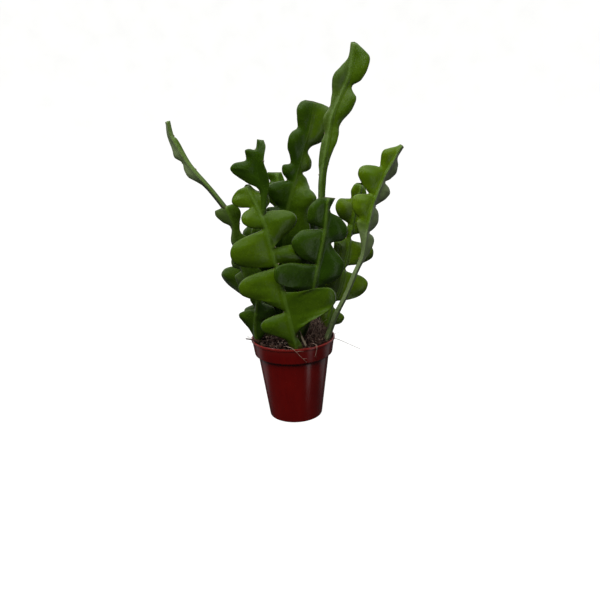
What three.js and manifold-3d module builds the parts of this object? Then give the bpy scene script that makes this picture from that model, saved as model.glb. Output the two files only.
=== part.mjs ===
// A potted fishbone cactus: rooted cuttings with flat, deeply lobed stems in a small nursery pot.
// Millimetres, +Z up. The origin is the middle of the pot's underside, and the front is -Y.
import * as THREE from "three";
import { mergeVertices } from "three/addons/utils/BufferGeometryUtils.js";
import Module from "manifold-3d";

const wasm = await Module();
wasm.setup();

// Driving dimensions of the pot
const POT_HEIGHT = 54;
const RIM_RADIUS = 27.5;
const RIM_LIP_HEIGHT = 1.6;
const BAND_HEIGHT = 10.6;
const BAND_FOOT_RADIUS = 25.6;
const WALL_TOP_RADIUS = 23.4;
const BASE_RADIUS = 17.8;
const BASE_EDGE = 1;
const POT_WALL = 0.9;
const POT_FLOOR = 1.2;
const RIM_ROUND = 0.4;
const LIP_STEP = 0.5;
const LIP_FOOT = 0.3;
const POT_SIDES = 48;
const DRAIN_RADIUS = 1.9;
const DRAIN_CIRCLE = 11;
const DRAIN_COUNT = 6;
const DRAIN_SIDES = 16;

// Driving dimensions of the potting mix
const FIT_GAP = 0.3;
const MIX_LEVEL = 52.6;
const MOUND_HEIGHT = 10;
const MOUND_PLACE = new THREE.Vector2(14, 3);
const MOUND_SPREAD = 10;
const MIX_ROUGHNESS = 0.5;
const MIX_RINGS = 7;
const INNER_RING = 0.3;
const HOLLOWS = { acrossX: 0.9, acrossY: 0.7, slant: 0.3 };

// Driving dimensions that all stems share
const RIB_HALF = 2;
const RIB_WIDTH = 5;
const LOBE_HALF = 0.9;
const NARROWEST = 1.6;
const ROOT_LENGTH = 12;
const ROOT_INWARD = 0.76;
const SOCKET_GAP = 0.35;
const SOCKET_TOP = 9;
const STATION = 3;
const ACROSS = [-1, -0.5, 0, 0.5, 1];
const ARC_DIVISIONS = 400;
const SAME_POINT = 1e-4;

const UP = new THREE.Vector3(0, 0, 1);
const FRONT = new THREE.Vector3(0, -1, 0);

// Each stem grows along a midrib: places [x, y, z] from the mix upwards. turn is how far its
// face turns from the front towards +X, in degrees, at its foot and at its top.
// left and right are its outlines from the bottom, seen from the front: [along the midrib,
// out from it, lift towards the front]. A notch is where the outline comes closest to the midrib.
const STEMS = {
  stem_front: {
    turn: [0, 0],
    midrib: [[2, -22, 54], [0, -24, 66], [-4, -23, 86.5], [-8, -21, 105.5], [-14, -19, 131],
      [-16, -17, 137], [-24, -11, 154]],
    left: [[0, 4, 0], [6.5, 6, 0], [12.5, 12, 3], [16, 17, 4], [20, 18, 4], [23, 15, 4],
      [24, 9, 2], [24.5, 2.4, 0], [30, 8, 2], [35, 13.5, 4], [38, 20, 5], [42, 24.5, 6],
      [46.5, 25, 6], [50, 22, 6], [52, 16.5, 5], [52.3, 9, 3], [52.4, 1, 0], [54.5, 8.3, 3],
      [57.5, 17, 5], [61, 22.5, 7], [66, 24, 8], [71, 22.5, 8], [74, 18.5, 7], [75.5, 11.5, 5],
      [76.7, 2.2, 0], [79.5, 8.5, 3], [83, 11.5, 4], [87.5, 11.3, 4], [90.5, 8.5, 3],
      [91.7, 4.5, 1], [95, 10, 3], [99, 12, 4], [102, 10, 4], [104, 6, 4], [105, 2, 0]],
    right: [[0, 4, 0], [7.5, 2, 0], [12.5, 5, 3], [16, 10.5, 5], [17.5, 17, 4], [19.5, 24.5, 2],
      [23, 29.6, -1], [28, 31, -1], [32, 29, 0], [34.3, 22.5, 2], [35, 15.5, 4], [35.5, 7.5, 3],
      [37.5, 1, 0], [54, 1, 0], [49.5, 12, -9], [50, 22, -14], [56, 25, -14], [62, 14, -8],
      [64.5, 2.5, 0], [68, 7.5, -3], [71, 13.5, -5], [73.5, 17.5, -6], [77, 19.5, -6],
      [81, 18.5, -5], [83.3, 14.5, -4], [85, 8.5, -2], [86.3, 3, 0], [90, 8, -1], [96, 8.5, -1],
      [100, 4, -1], [105, 2, 0]],
    shoot: {
      turn: [0, 0],
      midrib: [[-15, -17, 134], [-14, -16, 145], [-14, -15, 153], [-16, -14, 161],
        [-16, -13, 171], [-14, -12, 180]],
      left: [[0, 2, 0], [16, 2, 0], [25, 9, 2], [29, 15, 4], [31, 16, 4], [33, 14, 4],
        [34.8, 7, 2], [36.5, 6.8, 2], [39.2, 7.8, 3], [40.4, 5.5, 2], [40.8, 2, 0], [47, 2, 0]],
      right: [[0, 2, 0], [13, 2.5, 3], [24, 5.5, 6], [34, 4, 6], [43, 4, 5], [47, 2, 2]],
    },
  },
  stem_front_right: {
    turn: [0, 0],
    midrib: [[5, -10, 57], [8, -11, 65], [12, -12, 76], [16, -12, 97], [22, -10, 122],
      [25.3, -8, 144.5]],
    left: [[0, 3, 0], [18, 3, 0], [30, 2, 0], [32, 9, 7], [35, 16, 14], [37, 22, 18],
      [40, 25.5, 19], [44, 26, 18], [47.5, 19, 13], [48, 9, 5], [48.5, 2, 0], [51, 12, 5],
      [59, 19, 8], [68, 15, 5], [71, 2, 0], [74, 11, 3], [79, 12, 4], [84, 11, 4], [90.5, 5, 1]],
    right: [[0, 3, 0], [18, 3, 0], [34, 2, 0], [38, 10, -2], [43, 15.5, -3], [52, 16.5, -4],
      [56, 13, -3], [59.5, 8.5, -2], [63, 5.5, -1], [66, 12.5, -3], [70, 14.5, -4],
      [74, 13.5, -4], [79, 8, -2], [82, 2, 0], [90.5, 4.5, -1]],
    shoot: {
      turn: [0, 0],
      midrib: [[21, -8, 140], [21, -7, 152], [23, -5, 164], [26, -2, 178], [29, 1, 191],
        [36, 5, 206], [40, 6, 214], [44, 8, 234]],
      left: [[0, 2, 0], [18, 1.8, 0], [24, 3, 0], [32, 3.6, 1], [38, 3.4, 1], [43, 2.5, 0],
        [51, 5, 2], [58, 3.5, 1], [65, 5.2, 1], [74, 9, 3], [79, 8.8, 3], [84, 6.2, 2],
        [90, 2.5, 1], [99, 2, 0]],
      right: [[0, 2, 0], [12, 3, 0], [25, 3, 0], [38, 5.5, 2], [44, 6.2, 1], [50, 6, 0],
        [61, 9.5, 3], [69, 9, 4], [75, 4, 1], [79, 7.5, 4], [85, 10, 5], [91.5, 10, 4],
        [95, 6.5, 3], [99, 2, 0]],
    },
  },
  stem_centre_back: {
    turn: [0, 8],
    midrib: [[-6, 8, 55], [-6, 8, 61], [-5, 9, 83], [-4, 11, 110], [0, 14, 137], [9, 18, 165],
      [17, 22, 191], [19, 24, 202]],
    left: [[0, 2.5, 0], [5, 6, 0], [10, 7, 0], [14, 7, 0], [17, 12, 0], [24, 15, -1], [31, 14, 0],
      [38, 7, 0], [42, 14, 2], [47, 16, 3], [54, 15, 4], [62, 12, 2], [66, 4, 0], [72, 9, 2],
      [77, 13, 2], [80, 13, 2], [82, 7, 1], [84, 10, 3], [88, 15, 4], [92, 16, 4], [97, 9, 2],
      [99, 5, 0], [102, 9, 2], [105, 10.3, 2], [107.3, 10, 2], [109.8, 6, 1], [114.6, 8, 2],
      [118.5, 10.5, 3], [123, 11.5, 4], [128.5, 10.5, 3], [132.5, 7.5, 1], [138, 9.2, 2],
      [144, 10.4, 3], [149, 8.5, 2], [151, 5.5, 1]],
    right: [[0, 2.5, 0], [18, 3, 0], [24, 11, 2], [31, 14, 3], [37, 11, 2], [40, 8, 1],
      [43, 15, 1], [47, 17.5, 1], [58, 16, 3], [67, 17, 2], [74.5, 15.5, 1], [81, 14.5, 1],
      [87, 15, 3], [93, 16.5, 4], [96, 14, 3], [97.9, 11, 1], [99.7, 10.3, -1], [101.9, 8.8, -2],
      [104, 7, -2], [106.4, 3.8, -1], [108, 6, -2], [110.7, 8.2, -3], [114.5, 8, -3],
      [117.5, 5.5, -2], [120, 3.5, -1], [124, 5, -2], [128, 10, -3], [136, 15.5, -5],
      [146, 15.5, -5], [149.7, 12, -4], [151, 7, -2]],
  },
  stem_right: {
    turn: [0, 0],
    midrib: [[21.5, -7.8, 53], [28.6, -8, 70.6], [35.3, -7.5, 83.4], [40.9, -6.5, 96],
      [45.8, -5, 106.2], [49, -3, 120.6], [53.8, 1, 137.6], [60.8, 6, 152.8], [69.8, 10, 167.3],
      [73.4, 11, 173]],
    left: [[0, 2, 0], [57, 1.5, 0], [64.5, 2, 0], [69, 3.3, 1], [74.3, 5.8, 2], [78.9, 8, 2],
      [81.8, 7.2, 2], [83.5, 10, 3], [86.3, 12.8, 4], [89.3, 14, 4], [92.1, 14.1, 4],
      [94.3, 11.6, 3], [96.3, 6.7, 2], [97.3, 5.5, 1], [98.3, 7.5, 2], [101.2, 12.9, 3],
      [104.3, 16.4, 4], [107.3, 17.2, 4], [110.2, 15.8, 3], [113.6, 9.2, 2], [114.8, 6, 1],
      [117.5, 7.1, 1], [121.4, 8.9, 2], [124.7, 8.9, 2], [127.7, 6.5, 1], [131.4, 2.9, 0],
      [134, 1, 0]],
    right: [[0, 2, 0], [56.5, 2, 0], [61.6, 3.9, -2], [65.6, 5.6, -3], [70, 6, -4],
      [72.8, 4.5, -3], [74.4, 1.7, -1], [77, 4, -3], [81.4, 6.3, -4], [85.2, 6.1, -4],
      [89.3, 4.4, -3], [91.5, 1.7, -1], [95.3, 4.3, -3], [100.3, 7.4, -4], [104.4, 8.5, -5],
      [107, 6.5, -4], [108.3, 2, -1], [112.5, 4.5, -3], [118, 6.2, -4], [122.4, 5, -4],
      [125.7, 2, -2], [134, 1, 0]],
  },
  stem_right_inner: {
    turn: [25, 25],
    midrib: [[20.5, 4, 56], [25, 6, 70], [31, 8, 82], [36, 11, 101], [42, 16, 130], [48, 21, 150]],
    left: [[0, 2, 0], [5, 4, 0], [11, 6, 1], [15, 4, 1], [19, 3, 0], [23, 8, 2], [28, 12, 3],
      [36, 12.5, 3], [41, 7, 2], [43, 1, 0], [45.5, 9, 2], [53, 11.5, 3], [59.5, 12, 3],
      [61.8, 9, 1], [63, 2, 0], [68, 5, 2], [72, 2, 0], [74.5, 11, 3], [78, 16, 5], [81, 17, 5],
      [84.8, 15, 4], [87, 8, 1], [88.5, 4, 0], [93, 6, 1], [97, 5, 1], [99, 3, 0]],
    right: [[0, 2, 0], [4, 5, 1], [6.5, 10, 2], [10.5, 12, 2], [13, 10.5, 2], [15, 6, 1],
      [17, 2, 0], [20, 1, 0], [25, 8, 3], [29, 15.5, 4], [33, 18, 5], [37, 17.5, 5], [40, 13, 4],
      [42, 2, 0], [44.5, 2, 0], [46.8, 8, 2], [48.5, 12, 3], [53.5, 18.3, 4], [58.5, 17.5, 4],
      [61, 12, 2], [62.5, 2, 0], [65, 2.5, 0], [69, 10, 3], [75, 12, 4], [78, 7, 1], [84, 9.5, 3],
      [90, 7.5, 2], [96, 5, 1], [99, 3, 0]],
  },
  stem_left: {
    turn: [-25, -15],
    midrib: [[-17, 6, 56], [-26, 5, 84], [-31, 3, 103], [-34, 1, 117], [-34, 0, 129],
      [-38, -2, 141]],
    left: [[0, 2, 0], [26, 2, 0], [35, 7, 1], [42, 7, 1], [45, 2, 0], [49, 6, 2], [54, 5, 2],
      [58, 1, 0], [65, 2, 2], [74, 2, 1], [80, 5.5, 3], [86, 7.3, 4], [90, 6, 3]],
    right: [[0, 2, 0], [20, 4, 0], [39, 11, -2], [46, 8, -2], [51, 3, 0], [58, 12, -2],
      [66, 12, -2], [71, 4, 0], [76, 4, 0], [82, 7, -1], [90, 5, -1]],
    shoot: {
      turn: [0, 0],
      midrib: [[-38, -2, 137], [-45, -3, 149], [-51, -3, 157], [-56, -2, 163], [-61, 0, 170],
        [-65, 2, 177], [-69, 4, 184], [-71, 6, 193]],
      left: [[0, 2, 0], [22, 2.5, 0], [29, 5, 1], [33, 4.5, 1], [38, 3, 0], [43, 5, 1],
        [47, 4, 1], [53, 3, 0], [60, 2, 0], [66, 1, 0]],
      right: [[0, 1.5, 0], [30, 1.5, 0], [43, 2, 0], [52, 2.5, 1], [55, 1, 0], [66, 1, 0]],
    },
  },
  stem_left_low: {
    turn: [-20, -20],
    midrib: [[-23, -5, 54], [-23, -7, 68], [-21, -8, 80], [-20, -8, 90]],
    left: [[0, 2, 0], [4, 3.2, 0], [7, 5, 0], [12, 9, 1], [16, 11.5, 2], [20, 6, 1], [21.5, 2, 0],
      [28, 5, 2], [36, 2, 0]],
    right: [[0, 2, 0], [3, 5, 0], [9.5, 6.8, 0], [14.5, 5.3, 0], [18, 9, 2], [23, 13, 3],
      [26, 12, 3], [28, 2, 0], [36, 2, 0]],
  },
  stem_left_back: {
    turn: [-40, -40],
    midrib: [[-18, 14, 55], [-22, 16, 75], [-23, 17, 89], [-23, 17, 108], [-22, 17, 126]],
    left: [[0, 2.5, 0], [5, 3, 0], [11, 13, 2], [15, 14, 2], [19, 4, 0], [21.7, 6, 1],
      [23.6, 11.5, 2], [26.3, 17.5, 2], [30, 24.5, 3], [34, 28.5, 4], [37, 28.7, 5],
      [40.3, 26, 4], [42.5, 18.6, 3], [43.2, 10, 2], [44, 2, 0], [52, 4, 1], [58, 9, 1],
      [66, 10, 1], [70.5, 6, 0]],
    right: [[0, 2.5, 0], [12, 3, 0], [19, 5, -1], [29, 5, -2], [37, 4, -1], [41, 6, -2],
      [46, 11, -2], [53, 9, -2], [58, 6, -1], [65, 8, -2], [70.5, 5.5, -1]],
  },
  stem_back: {
    turn: [20, 15],
    midrib: [[-6, 18, 55], [-6, 21, 80], [-6, 26, 107], [-6, 31, 130], [-7, 38, 158]],
    left: [[0, 2.5, 0], [11, 2.5, 0], [16, 8, 2], [31, 9, 2], [37, 6, 1], [45, 13, 3],
      [53, 13, 3], [60, 3, 0], [66, 11, 3], [74, 12, 3], [81, 3, 0], [88, 11, 3],
      [95, 11, 3], [99, 5, 0], [104, 7, 1], [106, 5, 1]],
    right: [[0, 2.5, 0], [17, 3, 0], [24, 9, 3], [32, 9, 3], [39, 3, 0], [44, 13, 3],
      [53, 16, 3], [57, 4, 0], [61, 16, 3], [66, 20, 4], [70, 13, 3], [73, 3, 0],
      [78, 11, 3], [86, 12, 3], [89, 2, 0], [96, 5, 2], [106, 3, 1]],
  },
  stem_back_right: {
    turn: [20, 65],
    midrib: [[9, 15, 56], [15, 25, 80], [19, 34, 106], [20, 44, 132]],
    left: [[0, 2.5, 0], [14, 3, 0], [22, 7, -2], [30, 8, -3], [37, 3, 0], [45, 8, -3],
      [54, 9, -3], [62, 4, 0], [67, 10, -2], [74, 10, -2], [86, 3, 0]],
    right: [[0, 2.5, 0], [4, 9, 0], [10, 13, 1], [16, 12, 1], [20, 9, 1], [26, 11, 3],
      [33, 11, 3], [39, 3, 0], [46, 10, 3], [54, 11, 3], [61, 3, 0], [68, 10, 3], [75, 9, 3],
      [86, 2, 0]],
  },
};

// Roots and a twig that hang over the rim: radius, and places [x, y, z] from the mix outwards
const OVER_RIM = {
  root_over_rim: {
    radius: 0.4,
    path: [[-6, -20, 53.9], [-3.5, -24.6, 55.2], [0, -28.4, 54.8], [4.5, -27.9, 49.5],
      [8.2, -25.5, 44.6]],
  },
  root_over_rim_right: {
    radius: 0.35,
    path: [[11, -17, 53.9], [13, -21.5, 55.4], [14.8, -24.3, 55], [14.4, -24.1, 51],
      [13.2, -23.9, 47.5]],
  },
  twig_over_rim: {
    radius: 0.6,
    path: [[-22, -9, 54], [-25.5, -9.4, 55.4], [-30.5, -9.2, 56.4]],
  },
};
// Coir fibres that stand out of the mound: places [x, y, height above the mix]
const COIR_RADIUS = 0.35;
const COIR_FIBRES = [
  [[14, 1, 0.6], [13, 0, 5], [14.5, -1, 9]],
  [[16, -4, 0.6], [17.5, -5, 4], [17, -6, 8]],
  [[9, -3, 0.6], [8, -4, 4], [9, -6, 6.5]],
  [[11, -8, 0.9], [14, -9, 3], [18, -8, 0.9]],
];
const FIBRE_SIDES = 6;
const FIBRE_STEPS = 8;

// A dry bud scale at the foot of the front stem: places [x, y, z], and its flat section
const SCALE_PATH = [[8.2, -19.4, 53.4], [6, -20, 58.5], [4.6, -20.6, 64]];
const SCALE_WIDTH = 1.8;
const SCALE_THICKNESS = 0.5;

// Bark chips that lie on the mix: [x, y, turn in degrees], and their half sizes
const CHIPS = [[-13, -17, 20], [-8, -19.5, 75], [16, -12.5, 130], [-19, -14, 165]];
const CHIP_HALF = new THREE.Vector3(2, 1.2, 0.7);
const CHIP_GAP = 0.5;

const GREEN = new THREE.MeshStandardMaterial({ color: 0x3f7414, roughness: 0.38, metalness: 0 });
const RED = new THREE.MeshStandardMaterial({ color: 0x8c1710, roughness: 0.25, metalness: 0 });
const BROWN = new THREE.MeshStandardMaterial({ color: 0x4a2f28, roughness: 0.95, metalness: 0 });
const STRAW = new THREE.MeshStandardMaterial({ color: 0xa98a68, roughness: 0.9, metalness: 0 });

// A closed solid through rings of points. Each ring runs anticlockwise seen from the next one,
// and its first half lies opposite its second half, so that the two ends close as strips.
function skin(rings) {
  const count = rings[0].length;
  const last = (rings.length - 1) * count;
  const faces = [];
  for (let start = 0; start < last; start += count) {
    for (let i = 0; i < count; i++) {
      const a = start + i;
      const b = start + ((i + 1) % count);
      faces.push(a, b, b + count, a, b + count, a + count);
    }
  }
  for (let i = 0; i < count / 2 - 1; i++) {
    const j = count - 1 - i;
    faces.push(i, j, i + 1, i + 1, j, j - 1);
    faces.push(last + i, last + i + 1, last + j, last + i + 1, last + j - 1, last + j);
  }
  const geometry = new THREE.BufferGeometry().setFromPoints(rings.flat());
  return geometry.setIndex(faces);
}

function solidOf(geometry) {
  const bare = geometry.clone();
  bare.deleteAttribute("normal");
  bare.deleteAttribute("uv");
  const merged = mergeVertices(bare, SAME_POINT);
  return new wasm.Manifold(new wasm.Mesh({
    numProp: 3,
    vertProperties: new Float32Array(merged.attributes.position.array),
    triVerts: new Uint32Array(merged.index.array),
  }));
}

function geometryOf(solid) {
  const mesh = solid.getMesh();
  const geometry = new THREE.BufferGeometry();
  geometry.setAttribute("position", new THREE.BufferAttribute(mesh.vertProperties, 3));
  geometry.setIndex(new THREE.BufferAttribute(mesh.triVerts, 1));
  geometry.computeVertexNormals();
  return geometry;
}

// One side of a stem: for a station on the midrib, the point of the outline that belongs to it.
// Between two notches the outline's points share out the length of midrib that carries the lobe.
function outline(points) {
  const notch = points.map((p, i) => i === 0 || i === points.length - 1
    || (p[1] <= points[i - 1][1] && p[1] <= points[i + 1][1]));
  const notches = points.keys().filter((i) => notch[i]).toArray();
  const roots = points.map((p, i) => {
    if (notch[i]) return p[0];
    const after = notches.findIndex((n) => n > i);
    const low = notches[after - 1];
    const high = notches[after];
    return THREE.MathUtils.mapLinear(i, low, high, points[low][0], points[high][0]);
  });
  const curve = new THREE.CatmullRomCurve3(points.map((p) => new THREE.Vector3(...p)));
  return (station) => {
    const after = roots.findIndex((r) => r > station);
    if (after === 0) return new THREE.Vector3(station, points[0][1], points[0][2]);
    if (after < 0) return curve.getPoint(1);
    const share = (station - roots[after - 1]) / (roots[after] - roots[after - 1]);
    return curve.getPoint((after - 1 + share) / (points.length - 1));
  };
}

// The midrib as a smooth curve, with the buried end ahead of the first place where there is one
function midribOf(stem, buried) {
  const places = stem.midrib.map((p) => new THREE.Vector3(...p));
  if (buried) {
    const [x, y, z] = stem.midrib[0];
    places.unshift(new THREE.Vector3(x * ROOT_INWARD, y * ROOT_INWARD, z - ROOT_LENGTH));
  }
  const curve = new THREE.CatmullRomCurve3(places);
  curve.arcLengthDivisions = ARC_DIVISIONS;
  const lengths = curve.getLengths();
  const buriedLength = buried ? lengths[Math.round(ARC_DIVISIONS / (places.length - 1))] : 0;
  const whole = curve.getLength();
  return {
    from: -buriedLength,
    to: whole - buriedLength,
    at(station) {
      const u = THREE.MathUtils.clamp((station + buriedLength) / whole, 0, 1);
      const along = curve.getTangentAt(u);
      const place = curve.getPointAt(u);
      const turn = THREE.MathUtils.degToRad(THREE.MathUtils.lerp(...stem.turn, u));
      const facing = FRONT.clone().applyAxisAngle(UP, turn);
      facing.addScaledVector(along, -facing.dot(along)).normalize();
      return { place, facing, side: along.clone().cross(facing) };
    },
  };
}

function ribThickness(distance) {
  return LOBE_HALF + (RIB_HALF - LOBE_HALF) * Math.max(0, 1 - distance / RIB_WIDTH);
}

// A stem from one station to another, grown outwards by a gap where it stands for its socket
function blade(stem, buried, from, to, grow) {
  const midrib = midribOf(stem, buried);
  const sides = { left: outline(stem.left), right: outline(stem.right) };
  const start = Math.max(from, midrib.from);
  const end = Math.min(to, midrib.to);
  const steps = Math.ceil((end - start) / STATION);
  const rings = [];
  for (let k = 0; k <= steps; k++) {
    const station = start + ((end - start) * k) / steps;
    const root = midrib.at(station);
    const front = [];
    const back = [];
    for (const across of ACROSS) {
      const [along, out, lift] = sides[across < 0 ? "left" : "right"](station);
      const frame = midrib.at(along);
      const reach = (Math.max(out, NARROWEST) + grow) * Math.sign(across);
      const edge = frame.place.clone().addScaledVector(frame.side, reach)
        .addScaledVector(frame.facing, lift);
      const place = root.place.clone().lerp(edge, Math.abs(across));
      const half = ribThickness(place.distanceTo(root.place)) + grow;
      front.push(place.clone().addScaledVector(root.facing, half));
      back.unshift(place.clone().addScaledVector(root.facing, -half));
    }
    rings.push([...front, ...back]);
  }
  return skin(rings);
}

function stemGeometry(stem) {
  const cutting = blade(stem, true, -Infinity, Infinity, 0);
  if (!stem.shoot) return cutting;
  const shoot = blade(stem.shoot, false, -Infinity, Infinity, 0);
  return geometryOf(solidOf(cutting).add(solidOf(shoot)));
}

const BAND_FOOT = POT_HEIGHT - BAND_HEIGHT;

function turned(profile, sides) {
  const points = profile.map(([radius, height]) => new THREE.Vector2(radius, height));
  return new THREE.LatheGeometry(points, sides).rotateX(Math.PI / 2);
}

function potGeometry() {
  const lipFoot = POT_HEIGHT - RIM_LIP_HEIGHT;
  const inner = [
    [RIM_RADIUS - POT_WALL - RIM_ROUND, POT_HEIGHT],
    [RIM_RADIUS - POT_WALL - LIP_STEP, lipFoot],
    [BAND_FOOT_RADIUS - POT_WALL, BAND_FOOT + POT_WALL],
    [WALL_TOP_RADIUS - POT_WALL, BAND_FOOT + POT_WALL],
    [BASE_RADIUS - POT_WALL, POT_FLOOR],
    [0, POT_FLOOR],
  ];
  const outer = [
    [0, 0],
    [BASE_RADIUS - BASE_EDGE, 0],
    [BASE_RADIUS, BASE_EDGE],
    [WALL_TOP_RADIUS, BAND_FOOT],
    [BAND_FOOT_RADIUS, BAND_FOOT],
    [RIM_RADIUS - LIP_STEP, lipFoot],
    [RIM_RADIUS, lipFoot + LIP_FOOT],
    [RIM_RADIUS, POT_HEIGHT - RIM_ROUND],
    [RIM_RADIUS - RIM_ROUND, POT_HEIGHT],
  ];
  const depth = POT_FLOOR * 4;
  let pot = solidOf(turned([...outer, ...inner], POT_SIDES));
  for (let i = 0; i < DRAIN_COUNT; i++) {
    const angle = ((i + 0.5) / DRAIN_COUNT) * 2 * Math.PI;
    const drill = new THREE.CylinderGeometry(DRAIN_RADIUS, DRAIN_RADIUS, depth, DRAIN_SIDES);
    drill.rotateX(Math.PI / 2);
    drill.translate(Math.cos(angle) * DRAIN_CIRCLE, Math.sin(angle) * DRAIN_CIRCLE, 0);
    pot = pot.subtract(solidOf(drill));
  }
  return geometryOf(pot);
}

// The height of the potting mix: level, with a mound of fibre at the right and small hollows
function mixHeight(x, y) {
  const away = Math.hypot(x - MOUND_PLACE.x, y - MOUND_PLACE.y);
  const mound = MOUND_HEIGHT * Math.exp(-((away / MOUND_SPREAD) ** 2));
  const { acrossX, acrossY, slant } = HOLLOWS;
  return MIX_LEVEL + mound + MIX_ROUGHNESS * Math.sin(x * acrossX) * Math.cos(y * acrossY + x * slant);
}

function mixGeometry() {
  const foot = BAND_FOOT + POT_WALL + FIT_GAP;
  const inner = RIM_RADIUS - POT_WALL - LIP_STEP - FIT_GAP * 2;
  const rings = [
    [BASE_RADIUS - POT_WALL - FIT_GAP, POT_FLOOR + FIT_GAP],
    [WALL_TOP_RADIUS - POT_WALL - FIT_GAP * 2, foot],
    [BAND_FOOT_RADIUS - POT_WALL - FIT_GAP, foot],
    [inner],
  ];
  for (let i = MIX_RINGS - 1; i >= 0; i--) rings.push([(inner * (i + INNER_RING)) / MIX_RINGS]);
  return skin(rings.map(([radius, height]) => {
    const ring = [];
    for (let i = 0; i < POT_SIDES; i++) {
      const angle = (i / POT_SIDES) * 2 * Math.PI;
      const x = radius * Math.cos(angle);
      const y = radius * Math.sin(angle);
      ring.push(new THREE.Vector3(x, y, height ?? mixHeight(x, y)));
    }
    return ring;
  }));
}

function pottingMixGeometry() {
  let mix = solidOf(mixGeometry());
  for (const stem of Object.values(STEMS)) {
    mix = mix.subtract(solidOf(blade(stem, true, -Infinity, SOCKET_TOP, SOCKET_GAP)));
  }
  return geometryOf(mix);
}

// A tube along a path, its section an ellipse of the two half widths
function strand(places, halfWidth, halfThickness) {
  const path = new THREE.CatmullRomCurve3(places.map((p) => new THREE.Vector3(...p)));
  const section = new THREE.Shape();
  section.absellipse(0, 0, halfThickness, halfWidth, 0, 2 * Math.PI, false, 0);
  const options = { steps: FIBRE_STEPS, curveSegments: FIBRE_SIDES, extrudePath: path };
  return new THREE.ExtrudeGeometry(section, { ...options, bevelEnabled: false });
}

function onMix([x, y, height]) {
  return [x, y, mixHeight(x, y) + height];
}

function chipGeometry(turn, index) {
  const chip = new THREE.IcosahedronGeometry(1, 0);
  chip.rotateX(index);
  chip.scale(CHIP_HALF.x, CHIP_HALF.y, CHIP_HALF.z);
  return chip.rotateZ(THREE.MathUtils.degToRad(turn));
}

const plant = new THREE.Group();

function addPiece(name, geometry, material) {
  const mesh = new THREE.Mesh(geometry, material);
  mesh.name = name;
  plant.add(mesh);
  return mesh;
}

addPiece("pot", potGeometry(), RED);
addPiece("potting_mix", pottingMixGeometry(), BROWN);
for (const [name, stem] of Object.entries(STEMS)) addPiece(name, stemGeometry(stem), GREEN);
for (const [name, { radius, path }] of Object.entries(OVER_RIM)) {
  addPiece(name, strand(path, radius, radius), STRAW);
}
for (const [i, path] of COIR_FIBRES.entries()) {
  addPiece(`coir_fibre_${i + 1}`, strand(path.map(onMix), COIR_RADIUS, COIR_RADIUS), STRAW);
}
addPiece("dry_scale", strand(SCALE_PATH, SCALE_WIDTH / 2, SCALE_THICKNESS / 2), STRAW);
for (const [i, [x, y, turn]] of CHIPS.entries()) {
  const chip = addPiece(`bark_chip_${i + 1}`, chipGeometry(turn, i), BROWN);
  chip.position.set(x, y, mixHeight(x, y) + CHIP_HALF.z + CHIP_GAP);
}

export default plant;
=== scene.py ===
# %% [markdown]
# # A potted fishbone cactus
#
# A fishbone cactus grows flat stems with deep rounded lobes on both sides, like the bones of a
# fish. Ten rooted cuttings of it stand in a small red-brown nursery pot, in a rough mix of peat,
# bark and coir. This lesson gives that plant its looks, piece by piece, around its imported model.
# The model is loaded first and stays where it is: every piece made here takes its place from it.

# %% Load the fixed frame
import math
import bpy
import numpy as np
from mathutils import Matrix, Vector, noise


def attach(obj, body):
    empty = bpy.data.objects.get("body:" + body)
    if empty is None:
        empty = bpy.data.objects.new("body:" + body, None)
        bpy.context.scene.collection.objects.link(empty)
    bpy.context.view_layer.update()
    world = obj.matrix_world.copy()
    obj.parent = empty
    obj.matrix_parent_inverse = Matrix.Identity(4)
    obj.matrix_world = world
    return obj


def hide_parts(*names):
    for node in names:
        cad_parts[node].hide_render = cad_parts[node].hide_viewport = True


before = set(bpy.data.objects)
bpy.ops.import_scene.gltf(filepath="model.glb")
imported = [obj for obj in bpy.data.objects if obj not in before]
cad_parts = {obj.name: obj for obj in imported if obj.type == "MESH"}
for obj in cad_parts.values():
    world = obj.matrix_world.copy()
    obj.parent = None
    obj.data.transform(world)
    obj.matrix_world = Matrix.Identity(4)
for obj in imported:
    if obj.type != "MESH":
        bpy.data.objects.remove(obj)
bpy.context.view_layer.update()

print("nodes in the frame:", len(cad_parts))

# %% [markdown]
# ## The camera
#
# The photograph was taken from a little above the plant, looking down at it, with the camera
# leaning slightly to one side. The place, the pitch and the lean were worked out from the pot,
# whose round rim and upright wall show the horizon. A camera in Blender looks along its own -Z,
# so its matrix is built from three directions: right, up and backwards.

# %% Camera
MM = 0.001
CAMERA_PLACE = Vector((5.5, -389, 182.5)) * MM
PITCH_DOWN = math.radians(15)
LEAN = math.radians(-2.3)
SENSOR = 36
FOCAL_PIXELS, PHOTO_PIXELS = 620, 600
NEAREST_SEEN = 10 * MM

def aim_camera():
    looking = Vector((0, math.cos(PITCH_DOWN), -math.sin(PITCH_DOWN)))
    level = Vector((1, 0, 0))
    upright = level.cross(looking)
    right = math.cos(LEAN) * level + math.sin(LEAN) * upright
    up = math.cos(LEAN) * upright - math.sin(LEAN) * level
    turned = Matrix((right, up, -looking)).transposed().to_4x4()
    return Matrix.Translation(CAMERA_PLACE) @ turned

def add_object(name, data):
    made = bpy.data.objects.new(name, data)
    bpy.context.scene.collection.objects.link(made)
    return made

lens = bpy.data.cameras.new("camera")
lens.sensor_width = SENSOR
lens.lens = SENSOR * FOCAL_PIXELS / PHOTO_PIXELS
lens.clip_start = NEAREST_SEEN
camera = add_object("camera", lens)
camera.matrix_world = aim_camera()
bpy.context.scene.camera = camera
print("camera looks from", tuple(round(v, 4) for v in camera.location))

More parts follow.
